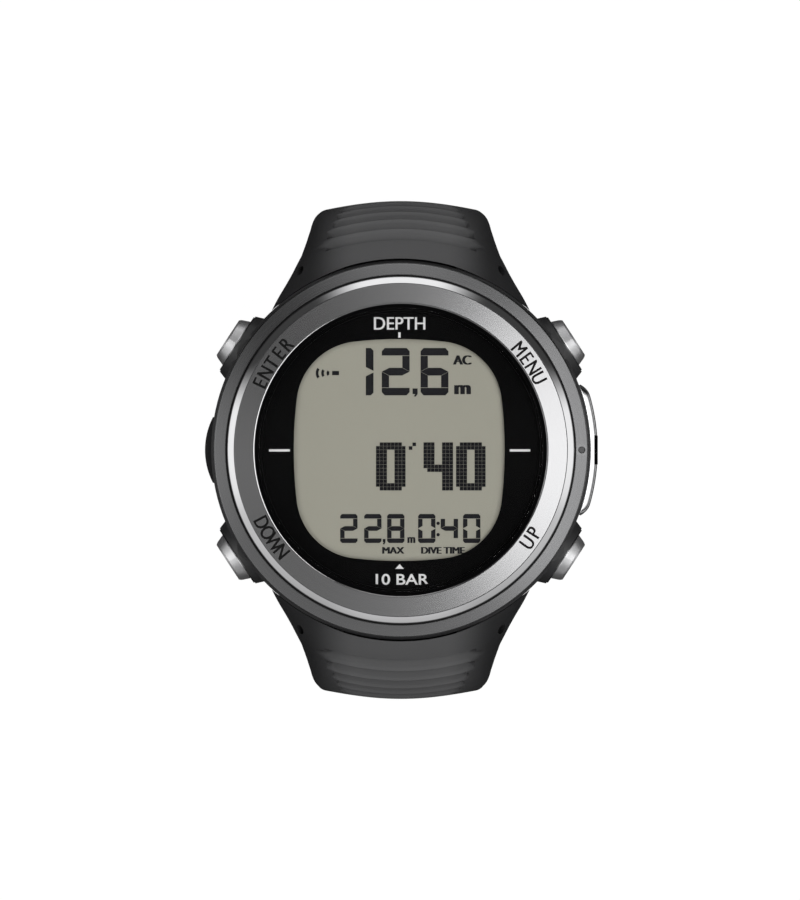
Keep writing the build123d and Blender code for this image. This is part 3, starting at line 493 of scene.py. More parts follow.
def build_ring():
    """The satin ring, its top sloping gently outwards, with the key pin's hole in it."""
    low, high = low_high("case_ring")
    outer = high.x
    inner = BEZEL_R + RING_GAP
    outline = [
        (inner, low.z), (inner, high.z - 0.08), (inner + 0.03, high.z - 0.03), (inner + 0.08, high.z - 0.02),
        (inner + 0.13, high.z - 0.032), (outer - 0.2, high.z - 0.26), (outer - 0.14, high.z - 0.275),
        (outer - 0.04, high.z - 0.36), (outer, high.z - 0.6), (outer, low.z),
    ]
    piece = turned_piece("case_ring_turned", outline)
    pin_low, pin_high = low_high("ring_key_pin")
    cut(piece, peg("key_hole", 0.46, 2.4, ((pin_low.x + pin_high.x) / 2, 0, high.z), 32))
    smooth(piece, 30)
    finish_piece(piece, "case", "ring_satin", RING_STEEL, "case_ring")


def build_crystal():
    """The crystal, its rim rounded over."""
    low, high = low_high("crystal")
    r = CRYSTAL_R - 0.01
    foot = low.z + 0.02
    outline = [
        (0.0, foot), (r, foot), (r, high.z - 0.16), (r - 0.03, high.z - 0.08), (r - 0.08, high.z - 0.02),
        (r - 0.13, high.z), (r - 0.17, high.z), (r - 0.22, high.z), (0.0, high.z),
    ]
    piece = turned_piece("crystal_rounded", outline)
    smooth(piece)
    finish_piece(piece, "case", "crystal_glass", CRYSTAL_CLEAR, "crystal")


PORT_HALF = 20.0  # degrees each side of the port's middle
PORT_FADE = 4.0  # degrees over which each end slopes into the case


def build_port():
    """The data port's polished plate, bowed round the case and sloping off at its edges."""
    low, high = low_high("port_plate")
    outer = high.x
    r, top, foot = CASE_R, high.z, low.z
    profile = [
        (r, foot), (r, top - 0.02), (r + 0.08, top), (r + 0.16, top - 0.01), (outer - 0.2, top - 0.3),
        (outer - 0.1, top - 0.38), (outer - 0.02, top - 0.6), (outer, top - 0.9), (outer, foot + 0.9),
        (outer - 0.1, foot + 0.35), (outer - 0.4, foot),
    ]
    turn = Matrix.Rotation(math.radians(-PORT_HALF), 3, "Z")
    spots = [turn @ Vector((a, 0, z)) for a, z in profile]
    piece = mesh_piece("port_plate_bowed", [tuple(p) for p in spots], [tuple(range(len(profile)))])
    only(piece)
    bpy.ops.object.mode_set(mode="EDIT")
    bpy.ops.mesh.select_all(action="SELECT")
    bpy.ops.mesh.spin(steps=56, angle=math.radians(-2 * PORT_HALF), center=(0, 0, 0), axis=(0, 0, 1))
    bpy.ops.object.mode_set(mode="OBJECT")
    face_outwards(piece)
    for vertex in piece.data.vertices:
        degrees = abs(math.degrees(math.atan2(vertex.co.y, vertex.co.x)))
        end = max(0.0, degrees - PORT_HALF + PORT_FADE) / PORT_FADE
        reach = math.hypot(vertex.co.x, vertex.co.y) / MM
        if reach > r + 0.1 and end > 0:
            pull = 1 - (reach - r) * 0.75 * end**2 / reach
            vertex.co.x *= pull
            vertex.co.y *= pull
    middle = (top + foot) / 2
    for long, x0, z0, z1 in ((4.2, r - 1, middle - 1.7, middle + 1.7), (3.8, outer - 0.45, middle, top + 1)):
        cut(piece, block("port_cut", (4, long, z1 - z0), (x0 + 2, 0, (z0 + z1) / 2)))
    smooth(piece)
    finish_piece(piece, "case", "steel_polished", POLISHED_STEEL, "port_plate")
    shoe = block("port_edge_shoe", (0.52, 3.7, 2.1), (outer - 0.24, 0, middle - 0.9))
    finish_piece(shoe, "case", "case_black", DIAL_BLACK)


def build_dial_rim():
    """A thin black lip that closes the slit between the dial mask and the case's neck."""
    outer = low_high("dial_mask")[1].x + 0.09
    inner = outer - 0.4
    foot = MASK_TOP + 0.02
    outline = [(inner, foot), (outer, foot), (outer, foot + 0.05), (inner, foot + 0.03)]
    finish_piece(turned_piece("dial_rim", outline), "case", "dial_black", DIAL_BLACK)


def build_button_spring(name):
    """A button's return spring between its case seat and the cap, copied from the part, smoothed and hung on the
    case.
    """
    made = nodes[f"{name}_button_spring"]
    piece = made.copy()
    piece.data = made.data.copy()
    piece.name = f"{name}_button_coil"
    bpy.context.scene.collection.objects.link(piece)
    face_outwards(piece)
    smooth(piece, 60)
    finish_piece(piece, "case", "steel_polished", POLISHED_STEEL, f"{name}_button_spring")
    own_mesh(piece)


build_bezel()
for label in ("menu", "enter", "down", "up"):
    build_button_spring(label)
build_ring()
build_dial_rim()
build_crystal()
build_port()


# ---------------------------------------------------------------- strap
BEND_R = 15.5  # outer radius where the strap turns down
BEND_U = REACH - BEND_R
HIP_Z = BACK_Z - 2.0  # height of the strap's outermost point
STRAP_T = 3.0
STRAP_TOP = BACK_Z + 12.2
CLEAR_R = CASE_R + 0.08  # circle that the horns end on
CLEAR_MORE = 0.15  # extra room at the middle of the strap
LUG_X = 7.3  # inner side of the cheeks
PIVOT_U = 22.9
PIVOT_Z = BACK_Z + 4.0
FLUTES = 6
FLUTE_TOP = 47.9  # degrees above the outermost point
FLUTE_PITCH = 7.7
FLUTE_HALF = 9.7
FLUTE_DEPTH = 1.15
FLUTE_CURVE = 2.2  # degrees that the flutes lean towards the case at FLUTE_CURVE_X
FLUTE_CURVE_X = 8.0
FLUTE_ROWS = (0.0, 0.03, 0.06, 0.1, 0.16, 0.24, 0.34, 0.45, 0.56, 0.67, 0.78, 0.88, 0.95)
CROWN = 1.2  # drop of the crown at CROWN_X
CROWN_X = 9.6
TOP_EASE = 1.2  # height over which the shoulder levels out below STRAP_TOP
END_ROWS = 36  # rows between the case and the first flute
RUN_HALF = 11.1  # half-width where the run leaves the bend
RUN_TAPER = 0.7  # how much each side draws in over RUN_TAPER_LEN
RUN_TAPER_LEN = 14.0
RUN_EASE = 10.0  # length over which the bend's section becomes the run's
SHEET_HALF = 10.3  # narrower than this, the run's crown flattens
TIP_HALF = 8.6  # narrower than this, the section is squeezed sideways
HOLE_R = 1.1
HOLES = 6
HOLE_FIRST = 4.5  # from the tail's tip
HOLE_PITCH = 5.0
HOLE_WIDEN = 1.55


def blend_table(table, at):
    """Reads a smooth curve given by a few (place, value) pairs."""
    if at <= table[0][0]:
        return table[0][1]
    for (a, va), (b, vb) in zip(table, table[1:]):
        if at <= b:
            t = (at - a) / (b - a)
            t = t * t * (3 - 2 * t)
            return va + (vb - va) * t
    return table[-1][1]


def line_table(table, at):
    """Reads a straight-line curve given by a few (place, value) pairs."""
    if at <= table[0][0]:
        return table[0][1]
    for (a, va), (b, vb) in zip(table, table[1:]):
        if at <= b:
            return va + (vb - va) * (at - a) / (b - a)
    return table[-1][1]


# Half-width, edge rounding and cheek depth by the bend's angle above the outermost point
WIDTH_BY_ANGLE = [(0, 11.3), (14, 11.7), (24, 12.15), (37, 12.9), (50, 14.1), (60, 15.15), (72, 16.1), (86, 17.1)]
ROUND_BY_ANGLE = [(0, 1.5), (14, 2.4), (30, 3.6), (60, 6.0), (86, 6.5)]
DROP_BY_ANGLE = [(0, 1.5), (14, 2.2), (30, 3.2), (60, 4.2), (86, 2.4)]
CHEEK_BY_ANGLE = [(0, 3.2), (8, 4.4), (22, 6.8), (40, 8.6), (60, 8.5), (86, 8.0)]


def flute_depth(x, base):
    """How deep the flutes cut at a place on the bend: sharp on the case side, easing outwards."""
    step = (FLUTE_TOP - base) / FLUTE_PITCH
    index = math.floor(step)
    if not 0 <= index < FLUTES:
        return 0.0
    along = step - index
    past = max(0.0, abs(x) - (FLUTE_HALF - 0.5 * index - 1.0))
    inside = 1 - (2 * along - 1) ** 2 - past**2
    if inside <= 0:
        return 0.0
    return FLUTE_DEPTH * min(1.0, inside / 0.4) * (1 - 0.9 * along)


class Section:
    """A closed cross-section of the strap: columns that give (x, depth below the outer face)."""

    def __init__(self, top=100, sides=5, floor=8):
        self.columns = []
        for i in range(top + 1):
            self.columns.append(("top", 2 * i / top - 1))
        for i in range(1, sides):
            self.columns.append(("side", i / sides, 1))
        self.columns.append(("foot", 0, 1))
        self.columns.append(("foot", 1, 1))
        self.columns.append(("foot", 2, 1))
        for i in range(floor + 1):
            self.columns.append(("floor", 1 - 2 * i / floor))
        self.columns.append(("foot", 2, -1))
        self.columns.append(("foot", 1, -1))
        self.columns.append(("foot", 0, -1))
        for i in range(sides - 1, 0, -1):
            self.columns.append(("side", i / sides, -1))

    def spot(self, column, half, edge, drop, cheek, crown, angle):
        """One column's x and depth for a half-width, edge rounding and cheek depth."""
        kind = column[0]

        def bow(x):
            return crown * (x / CROWN_X) ** 2

        if kind == "top":
            q = column[1]
            flat = 0.8
            if abs(q) <= flat:
                x = q / flat * (half - edge)
                sunk = flute_depth(x, angle) if angle is not None else 0.0
                return x, bow(x) + sunk
            beta = (abs(q) - flat) / (1 - flat) * math.pi / 2
            x = half - edge + edge * math.sin(beta)
            depth = bow(x) + drop * (1 - math.cos(beta))
            sunk = flute_depth(x, angle) if angle is not None else 0.0
            return math.copysign(x, q), depth + sunk
        side = column[-1]
        edge_depth = bow(half) + drop
        foot = cheek + 0.5 * bow(half)
        if kind == "side":
            t = column[1]
            return side * half, edge_depth + (max(foot - 0.4, edge_depth) - edge_depth) * t
        if kind == "foot":
            step = column[1]
            if step == 0:
                return side * (half - 0.4), foot
            if step == 1:
                return side * (LUG_X + 0.5), max(foot - 0.5 * (bow(half) - bow(LUG_X)), STRAP_T)
            return side * LUG_X, max(cheek - 0.4, STRAP_T + 0.5 * bow(LUG_X))
        x = column[1] * (LUG_X - 0.05)
        return x, STRAP_T + 0.5 * bow(x)


def shoulder_point(column, section, base):
    """A point of the shoulder: x, outward distance and height."""
    x, depth = section.spot(
        column,
        line_table(WIDTH_BY_ANGLE, base),
        line_table(ROUND_BY_ANGLE, base),
        line_table(DROP_BY_ANGLE, base),
        blend_table(CHEEK_BY_ANGLE, base),
        CROWN,
        base,
    )
    lean = FLUTE_CURVE * (min(abs(x), 10) / FLUTE_CURVE_X) ** 2
    a = math.radians(base + lean * min(1.0, base / 12.0))
    reach = BEND_R - depth
    u = BEND_U + reach * math.cos(a)
    z = HIP_Z + reach * math.sin(a)
    over = z - (STRAP_TOP - TOP_EASE)
    if over > 0:
        z = STRAP_TOP - TOP_EASE * math.exp(-over / TOP_EASE)
    return x, u, z


def end_angle(column, section):
    """The bend angle at which a column meets the circle round the case."""
    low, high = 45.0, 95.0
    for _ in range(40):
        middle = (low + high) / 2
        x, u, _z = shoulder_point(column, section, middle)
        if math.hypot(u, x) > CLEAR_R + CLEAR_MORE * (1 - blend_table([(6, 0), (11.5, 1)], abs(x))):
            low = middle
        else:
            high = middle
    return (low + high) / 2


def bend_bases():
    """Row angles over the fluted bend, from the first flute down, close together at each step."""
    rows = []
    for index in range(FLUTES):
        rows += [FLUTE_TOP - FLUTE_PITCH * (index + along) for along in FLUTE_ROWS]
    rows.append(FLUTE_TOP - FLUTE_PITCH * FLUTES)
    return rows + [0.0]


def run_path(slope, side_bend, low_bend, level, flat):
    """Stations below the outermost point: (length so far, outward, height, outward normal)."""
    lean = math.radians(slope)
    fall = HIP_Z - level - side_bend * math.sin(lean) - low_bend * (1 - math.sin(lean))
    stations = []
    u, z, turned, done = REACH, HIP_Z, 0.0, 0.0
    for kind, size, angle in (
        ("arc", side_bend, lean),
        ("line", fall / math.cos(lean), 0),
        ("arc", low_bend, math.pi / 2 - lean),
        ("line", flat, 0),
    ):
        length = size * angle if kind == "arc" else size
        count = max(4, round(length / 0.7))
        for i in range(1, count + 1):
            if kind == "arc":
                t = turned + angle * i / count
                centre_u = u - size * math.cos(turned)
                centre_z = z + size * math.sin(turned)
                spot = (centre_u + size * math.cos(t), centre_z - size * math.sin(t))
            else:
                t = turned
                spot = (u - length * i / count * math.sin(turned), z - length * i / count * math.cos(turned))
            stations.append((done + length * i / count, *spot, math.cos(t), -math.sin(t)))
        u, z = spot
        turned = t
        done += length
    return stations


def strap_half_width(done, total, end_round):
    """Half-width along the run, rounded off at the tip."""
    half = RUN_HALF - RUN_TAPER * min(1.0, done / RUN_TAPER_LEN)
    left = total - done
    if left < end_round:
        half = half - end_round + math.sqrt(max(0.0, end_round**2 - (end_round - left) ** 2))
    return max(half, 0.6)


def case_end_faces(row, section):
    """Closes the end at the case with a ladder of narrow triangles that follows the case's curve."""
    over = sum(1 for column in section.columns if column[0] == "top")
    under = list(range(len(row) - 1, over - 1, -1))
    i, j = 0, 0
    faces = []
    while i < over - 1 or j < len(under) - 1:
        next_top = row[i + 1][0] if i < over - 1 else math.inf
        next_low = row[under[j + 1]][0] if j < len(under) - 1 else math.inf
        if next_top <= next_low:
            faces.append((i, i + 1, under[j]))
            i += 1
        else:
            faces.append((i, under[j + 1], under[j]))
            j += 1
    return faces


def build_strap(name, side, path, end_round):
    """One half of the strap: shoulder, fluted bend and run, lofted from closed sections."""
    section = Section()
    columns = section.columns
    ends = [end_angle(c, section) for c in columns]
    rows = []
    for i in range(END_ROWS):
        t = (i / END_ROWS) ** 0.9
        rows.append([shoulder_point(c, section, end + (FLUTE_TOP - end) * t) for c, end in zip(columns, ends)])
    for base in bend_bases():
        rows.append([shoulder_point(c, section, base) for c in columns])
    total = path[-1][0]
    for done, u, z, nu, nz in path:
        fade = min(1.0, done / RUN_EASE)
        half = strap_half_width(done, total, end_round)
        crown = CROWN * (1 - 0.65 * fade) * min(1.0, half / SHEET_HALF) ** 2
        row = []
        for c in columns:
            edge, drop = 1.6 - 0.8 * fade, 1.5 - 0.7 * fade
            x, depth = section.spot(c, max(half, TIP_HALF), edge, drop, STRAP_T, crown, None)
            x *= min(1.0, half / TIP_HALF)
            row.append((x, u - nu * depth, z - nz * depth))
        rows.append(row)
    wide = len(columns)
    points = [(x, side * u, z) for row in rows for x, u, z in row]
    faces = []
    for r in range(len(rows) - 1):
        for c in range(wide):
            n = (c + 1) % wide
            faces.append((r * wide + c, r * wide + n, (r + 1) * wide + n, (r + 1) * wide + c))
    faces += case_end_faces(rows[0], section)
    faces.append(tuple(range((len(rows) - 1) * wide, len(rows) * wide)))
    strap = mesh_piece(name, points, faces)
    face_outwards(strap)
    return strap


def cut_pin_holes(strap, side):
    """Bores the cheeks for the strap pin, with a slanting access hole in each flank."""
    y = side * PIVOT_U
    cut(strap, peg("pin_bore", 0.95, 36, (0, y, PIVOT_Z), 48, math.pi / 2))
    for x in (-1, 1):
        cut(strap, peg("access", 0.62, 4.4, (x * 12.9, y, PIVOT_Z + 4.3), turn_y=x * math.radians(45)))


tail_path = run_path(8.0, 60.0, 19.0, 0.0, 30.5)
tail = build_strap("tail_strap_skin", -1, tail_path, 7.5)
cut_pin_holes(tail, -1)
for step in range(HOLES):
    hole_y = TIP_Y - HOLE_FIRST - HOLE_PITCH * step
    cut(tail, peg("hole", HOLE_R, 12, (0, hole_y, STRAP_T / 2), widen=HOLE_WIDEN))
smooth(tail, 40)
finish_piece(tail, "tail", "strap_rubber", STRAP_RUBBER, "tail_strap")

buckle_path = run_path(16.0, 40.0, 12.7, 13.0, 12.4)
holder = build_strap("buckle_strap_skin", 1, buckle_path, 0.0001)
cut_pin_holes(holder, 1)
smooth(holder, 40)
finish_piece(holder, "buckle_half", "strap_rubber", STRAP_RUBBER, "buckle_strap")


# ---------------------------------------------------------------- display
def flat_shape(outline, low, high):
    """Points and faces of a flat shape with thickness."""
    count = len(outline)
    points = [(x, y, low) for x, y in outline] + [(x, y, high) for x, y in outline]
    faces = [tuple(range(count - 1, -1, -1)), tuple(range(count, 2 * count))]
    for i in range(count):
        n = (i + 1) % count
        faces.append((i, n, count + n, count + i))
    return points, faces


def flat_piece(name, outlines, low, high, body, slot, material):
    """One piece from several flat outlines in millimetres."""
    points, faces = [], []
    for outline in outlines:
        area = sum(a[0] * b[1] - b[0] * a[1] for a, b in zip(outline, outline[1:] + outline[:1]))
        if area < 0:
            outline = outline[::-1]
        more, sides = flat_shape(outline, low, high)
        faces += [tuple(len(points) + i for i in face) for face in sides]
        points += more
    return finish_piece(mesh_piece(name, points, faces), body, slot, material)


SEGMENTS = {"0": "abcdef", "2": "abged", "4": "fgbc", "6": "afgedc", "8": "abcdefg"}


def segment_outlines(digit, x0, y0, wide, tall, stroke, gap):
    """The outlines of a seven-segment figure; x0, y0 is its lower left corner."""
    x1, y1 = x0 + wide, y0 + tall
    s, g = stroke, gap / 2
    m = (y0 + y1) / 2
    cut_in = 0.42 * s
    shapes = {
        "a": [(x0 + g, y1 - cut_in), (x0 + cut_in, y1), (x1 - cut_in, y1), (x1 - g, y1 - cut_in),
              (x1 - g, y1 - s + g), (x0 + g, y1 - s + g)],
        "d": [(x0 + g, y0 + s - g), (x1 - g, y0 + s - g), (x1 - g, y0 + cut_in), (x1 - cut_in, y0),
              (x0 + cut_in, y0), (x0 + g, y0 + cut_in)],
        "g": [(x0 + g, m), (x0 + s, m + s / 2), (x1 - s, m + s / 2), (x1 - g, m), (x1 - s, m - s / 2),
              (x0 + s, m - s / 2)],
        "f": [(x0 + g, y1 - s - g), (x0 + s - g, y1 - s - g), (x0 + s - g, m + s / 2 + g), (x0 + g, m + g)],
        "e": [(x0 + g, y0 + s + g), (x0 + s - g, y0 + s + g), (x0 + s - g, m - s / 2 - g), (x0 + g, m - g)],
        "b": [(x1 - g, y1 - s - g), (x1 - s + g, y1 - s - g), (x1 - s + g, m + s / 2 + g), (x1 - g, m + g)],
        "c": [(x1 - g, y0 + s + g), (x1 - s + g, y0 + s + g), (x1 - s + g, m - s / 2 - g), (x1 - g, m - g)],
    }
    return [shapes[key] for key in SEGMENTS[digit]]


def one_outlines(x0, y0, wide, tall):
    """The figure one: two bars with slanted inner ends."""
    x1, y1, m, c = x0 + wide, y0 + tall, y0 + tall / 2, 0.35 * wide
    return [
        [(x0, y1), (x1 - c, y1), (x1, y1 - c), (x1, m + 0.1), (x0, m + 0.6 * wide)],
        [(x0, m - 0.6 * wide), (x1, m - 0.1), (x1, y0 + c), (x1 - c, y0), (x0, y0)],
    ]


def arc_bar(cx, cy, radius, thick, half_deg):
    """A curved stroke that bulges to the left."""
    steps = [math.radians(180 - half_deg + 2 * half_deg * i / 10) for i in range(11)]
    outer = [(cx + radius * math.cos(a), cy + radius * math.sin(a)) for a in steps]
    inner = [(cx + (radius - thick) * math.cos(a), cy + (radius - thick) * math.sin(a)) for a in reversed(steps)]
    return outer + inner


INK_LOW = LCD_TOP - 0.004
INK_TOP = LCD_TOP + 0.02


DEPTH_Y = 6.97  # foot of the depth figures
DEPTH_TALL = 6.04
DEPTH_STROKE = 0.98
LOWER_Y = -11.86  # foot of the small figures


def disc_outline(x, y, radius):
    """A round dot of the display."""
    steps = [a * math.pi / 8 for a in range(16)]
    return [(x + radius * math.cos(a), y + radius * math.sin(a)) for a in steps]


def build_figures():
    """Lit figures of the display."""
    small = []
    big = one_outlines(-4.46, DEPTH_Y, DEPTH_STROKE, DEPTH_TALL)
    for digit, x0 in (("2", -2.45), ("6", 2.5)):
        big += segment_outlines(digit, x0, DEPTH_Y, 3.6, DEPTH_TALL, DEPTH_STROKE, 0.05)
    big.append([(1.5, 7.85), (2.15, 7.85), (2.15, 7.15), (1.9, 6.8), (1.65, 6.85), (1.85, 7.12), (1.5, 7.15)])
    for digit, x0 in (("2", -7.75), ("2", -4.69), ("8", -1.76), ("0", 2.19), ("4", 5.07), ("0", 7.92)):
        small += segment_outlines(digit, x0, LOWER_Y, 2.25, 3.7, 0.6, 0.04)
    small.append([
        (-2.3, -11.35), (-1.95, -11.35), (-1.95, -11.75), (-2.1, -12.05), (-2.3, -12.0), (-2.2, -11.75),
        (-2.3, -11.72),
    ])
    small += [disc_outline(4.76, y, 0.22) for y in (-9.35, -10.8)]
    for left, radius in ((-10.85, 1.15), (-10.15, 0.85), (-9.47, 0.6)):
        small.append(arc_bar(left + radius, 9.8, radius, 0.34, 36))
    small.append([(-8.76, 9.54), (-7.87, 9.54), (-7.87, 10.08), (-8.76, 10.08)])
    flat_piece("display_main_figures", big, INK_LOW, INK_TOP, "case", "lcd_grey", LCD_INK)
    flat_piece("display_small_figures", small, INK_LOW, INK_TOP, "case", "lcd_grey", LCD_INK)


build_figures()

DOT = 0.473
DOT_ZERO = ["01111110", "11111111"] + ["11100111"] * 9 + ["11111111", "01111110"]
DOT_FOUR = ["11100111"] * 6 + ["11111111", "01111111"] + ["00000111"] * 5


def dot_outlines(pattern, x0, y1):
    """Square dots of a matrix figure; x0, y1 is its upper left corner."""
    side = DOT * 0.955
    shapes = []
    for row, line in enumerate(pattern):
        for column, lit in enumerate(line):
            if lit == "1":
                x, y = x0 + column * DOT, y1 - row * DOT
                shapes.append([(x, y), (x + side, y), (x + side, y - side), (x, y - side)])
    return shapes


def build_dots():
    """Minutes and seconds made of square dots, with the mark between them."""
    dots = []
    for pattern, x0, y1 in (
        (DOT_ZERO, -3.16, 0.97), (DOT_FOUR, 2.9, 0.97), (DOT_ZERO, 7.05, 0.97), (["01", "10"], 1.02, 0.95),
    ):
        dots += dot_outlines(pattern, x0, y1)
    flat_piece("display_dot_figures", dots, INK_LOW, INK_TOP, "case", "lcd_grey", LCD_DOT)


build_dots()


CAP_SHARE = 0.73  # cap height as a share of the type size
PRINT_T = 0.01


def letters_mesh(name, text, size, place, squeeze, weight=0.0, bold=0.0, turn=0.0):
    """Lettering as a thin mesh. Size is the cap height; weight swells the outline, bold doubles the strokes."""
    curve = bpy.data.curves.new(name, "FONT")
    curve.body = text
    curve.size = size * MM / CAP_SHARE
    curve.align_x = "CENTER"
    curve.extrude = PRINT_T * MM
    curve.offset = weight * MM
    curve.resolution_u = 6
    letters = bpy.data.objects.new(name, curve)
    bpy.context.scene.collection.objects.link(letters)
    only(letters)
    bpy.ops.object.convert(target="MESH")
    letters = bpy.context.object
    letters.scale = (squeeze, 1, 1)
    if bold:
        copies = [letters]
        for shift in (-1, 1):
            double = letters.copy()
            double.data = letters.data.copy()
            double.data.transform(Matrix.Translation((shift * bold * MM / squeeze, 0, shift * 0.001 * MM)))
            bpy.context.scene.collection.objects.link(double)
            copies.append(double)
        only(*copies)
        bpy.ops.object.join()
    letters.rotation_euler = (0, 0, turn)
    letters.location = [value * MM for value in place]
    settle(letters, name)
    face_outwards(letters)
    return letters


for name, text, size, x, y, squeeze, bold in (
    ("display_air_label", "AC", 1.24, 7.88, 10.9, 0.96, 0.11),
    ("display_depth_unit", "m", 1.86, 7.88, 7.12, 1.08, 0.17),
    ("display_max_unit", "m", 1.2, 1.35, LOWER_Y, 0.8, 0.08),
    ("display_max_label", "MAX", 0.9, -1.0, -13.22, 1.05, 0.08),
    ("display_time_label", "DIVE TIME", 0.9, 5.35, -13.22, 1.0, 0.08),
):
    label = letters_mesh(name, text, size, (x, y, LCD_TOP + 0.008), squeeze, bold=bold)
    finish_piece(label, "case", "lcd_grey", LCD_INK)

PRINT_Z = MASK_TOP + 0.005
top_word = letters_mesh("dial_depth_word", "DEPTH", 1.7, (-0.15, 15.35, PRINT_Z), 0.95, bold=0.03)
finish_piece(top_word, "case", "dial_black", WHITE_INK)
low_word = letters_mesh("dial_rating_word", "10 BAR", 1.4, (-0.05, -17.15, PRINT_Z), 1.2, weight=0.03)
finish_piece(low_word, "case", "dial_black", WHITE_INK)


def build_dial_marks():
    """Tick, triangle and side lines printed on the dial."""
    z0, z1 = MASK_TOP - 0.004, MASK_TOP + 0.015
    bars = [
        [(-0.32, 14.32), (-0.02, 14.32), (-0.02, 15.0), (-0.32, 15.0)],
        [(-0.7, -15.15), (0.4, -15.15), (-0.15, -14.55)],
        [(-16.8, -0.2), (-14.15, -0.2), (-14.15, 0.1), (-16.8, 0.1)],
        [(13.9, -0.2), (16.5, -0.2), (16.5, 0.1), (13.9, 0.1)],
    ]
    flat_piece("dial_marks", bars, z0, z1, "case", "dial_black", WHITE_INK)


build_dial_marks()


LABEL_SIZE = 1.95
LABEL_R = BEZEL_R - 2.2
LABEL_Z = BEZEL_TOP + 0.002
LABEL_SPACING = 1.5
FACE_START = 3.26  # from the bezel's outer edge to where its face starts to fall


def word_on_bezel(text, middle, outward):
    """Letters placed one by one round the bezel; outward says which way their tops point."""
    letters = []
    name = f"bezel_word_{text.lower()}"
    way = -1 if outward else 1
    base = LABEL_R + way * LABEL_SIZE / 2
    for index, letter in enumerate(text):
        place = index - (len(text) - 1) / 2
        angle = math.radians(middle) + way * place * LABEL_SPACING / LABEL_R
        spot = (base * math.cos(angle), base * math.sin(angle), LABEL_Z)
        turn = angle + way * math.pi / 2
        letters.append(letters_mesh(f"{name}_{index}", letter, LABEL_SIZE, spot, 0.76, bold=0.05, turn=turn))
    only(*letters)
    bpy.ops.object.join()
    joined = bpy.context.object
    joined.name = name
    joined.data.name = name
    for vertex in joined.data.vertices:
        reach = math.hypot(vertex.co.x, vertex.co.y) / MM - (BEZEL_R - FACE_START)
        vertex.co.z -= FACE_DROP * reach / (FACE_START - BEVEL_W) * MM
    finish_piece(joined, "case", "steel_brushed", BLACK_INK)


for text, angle, outward in (("ENTER", 146, True), ("MENU", 34, True), ("DOWN", 214, False), ("UP", 326, False)):
    word_on_bezel(text, angle, outward)


# ---------------------------------------------------------------- stage, light and camera
def build_stage():
    """A plain pale floor that looks white but throws little light back."""
    bpy.ops.object.select_all(action="DESELECT")
    bpy.ops.mesh.primitive_plane_add(size=8.0, location=(0, 0, -0.0002))
    floor = bpy.context.object
    floor.name = "floor"
    material, tree, shader = new_material("Studio floor", Roughness=0.95, Specular_IOR_Level=0.1)
    shader.inputs["Base Color"].default_value = (0.05, 0.05, 0.05, 1)
    shader.inputs["Emission Color"].default_value = (1, 1, 1, 1)
    path = tree.nodes.new("ShaderNodeLightPath")
    seen = link_math(tree, "MULTIPLY", path.outputs["Is Camera Ray"], 0.98)
    tree.links.new(seen, shader.inputs["Emission Strength"])
    dress(floor, material)


def soft_box(name, size_x, size_y, location, aim, power):
    """A rectangular lamp aimed at a point."""
    light = bpy.data.lights.new(name, "AREA")
    light.shape = "RECTANGLE"
    light.size = size_x
    light.size_y = size_y
    light.energy = power
    lamp = bpy.data.objects.new(name, light)
    lamp.location = location
    lamp.rotation_euler = (Vector(aim) - Vector(location)).to_track_quat("-Z", "Y").to_euler()
    bpy.context.scene.collection.objects.link(lamp)


# Brightness of the studio dome by the sine of the height above the horizon
DOME = (
    (0.0, 0.4), (0.2, 0.4), (0.34, 0.1), (0.5, 0.07), (0.66, 0.8), (0.74, 1.0), (0.87, 1.0), (0.92, 0.35),
    (0.965, 0.12), (1.0, 0.08),
)
DOME_STRENGTH = 2.3


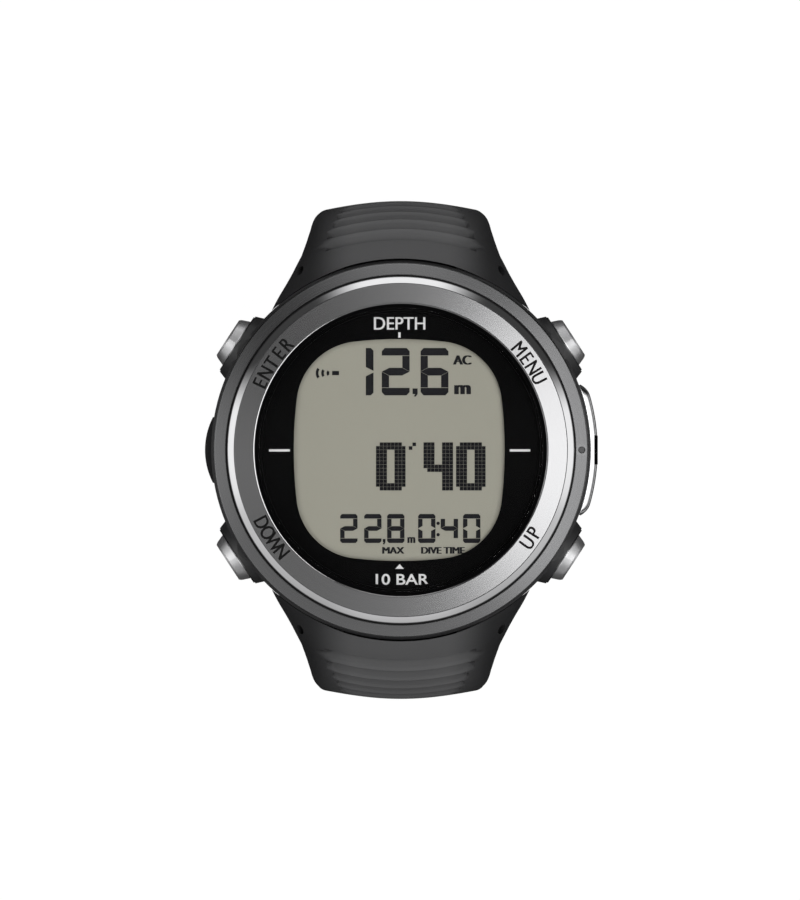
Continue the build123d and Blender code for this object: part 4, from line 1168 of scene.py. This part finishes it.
def build_world():
    """A studio dome: soft light low down, a dark belt, a bright band above it and dim overhead."""
    world = bpy.data.worlds.new("Studio")
    world.use_nodes = True
    tree = world.node_tree
    back = tree.nodes["Background"]
    place = tree.nodes.new("ShaderNodeTexCoord")
    split = tree.nodes.new("ShaderNodeSeparateXYZ")
    tree.links.new(place.outputs["Generated"], split.inputs[0])
    ramp = tree.nodes.new("ShaderNodeValToRGB")
    tree.links.new(split.outputs["Z"], ramp.inputs["Fac"])
    points = ramp.color_ramp.elements
    for index, (position, level) in enumerate(DOME):
        last = index == len(DOME) - 1
        point = points[0] if index == 0 else points[-1] if last else points.new(position)
        point.color = (level, level, level, 1)
    # Darker towards the four corners, most of all the two upper ones, and dimmer towards 6 o'clock
    x, y, z = split.outputs
    flat = link_math(tree, "SUBTRACT", 1.0, link_math(tree, "MULTIPLY", z, z))
    across = link_math(tree, "DIVIDE", link_math(tree, "ABSOLUTE", link_math(tree, "MULTIPLY", x, y)), flat)
    corner = fade_between(tree, across, 0.2, 0.44, 0.0, 1.0, soft=True)
    upper = fade_between(tree, y, -0.3, 0.3, 0.25, 0.95)
    low_side = fade_between(tree, y, -0.75, -0.05, 0.4, 1.0)
    lit = link_math(tree, "SUBTRACT", 1.0, link_math(tree, "MULTIPLY", corner, upper))
    strength = link_math(tree, "MULTIPLY", link_math(tree, "MULTIPLY", lit, DOME_STRENGTH), low_side)
    tree.links.new(ramp.outputs["Color"], back.inputs["Color"])
    tree.links.new(strength, back.inputs["Strength"])
    bpy.context.scene.world = world


SENSOR = 36.0
CAMERA_AWAY = 3.0  # metres above the bezel
FRAME_TALL = 114.65 * MM  # what the frame spans from top to bottom


def build_camera():
    """Straight down on the display, with 12 o'clock at the top."""
    camera = bpy.data.cameras.new("camera")
    camera.sensor_width = SENSOR
    camera.lens = SENSOR * CAMERA_AWAY / FRAME_TALL
    camera.clip_start = 0.01
    holder = bpy.data.objects.new("camera", camera)
    holder.location = (-0.0001, 0, BEZEL_TOP * MM + CAMERA_AWAY)
    bpy.context.scene.collection.objects.link(holder)
    bpy.context.scene.camera = holder


build_stage()
build_world()
soft_box("right_panel", 0.24, 0.60, (0.265, 0.0, 0.95), (0.265, 0.0, 0.0), 1.75)
build_camera()
bpy.context.scene.view_settings.view_transform = "Standard"
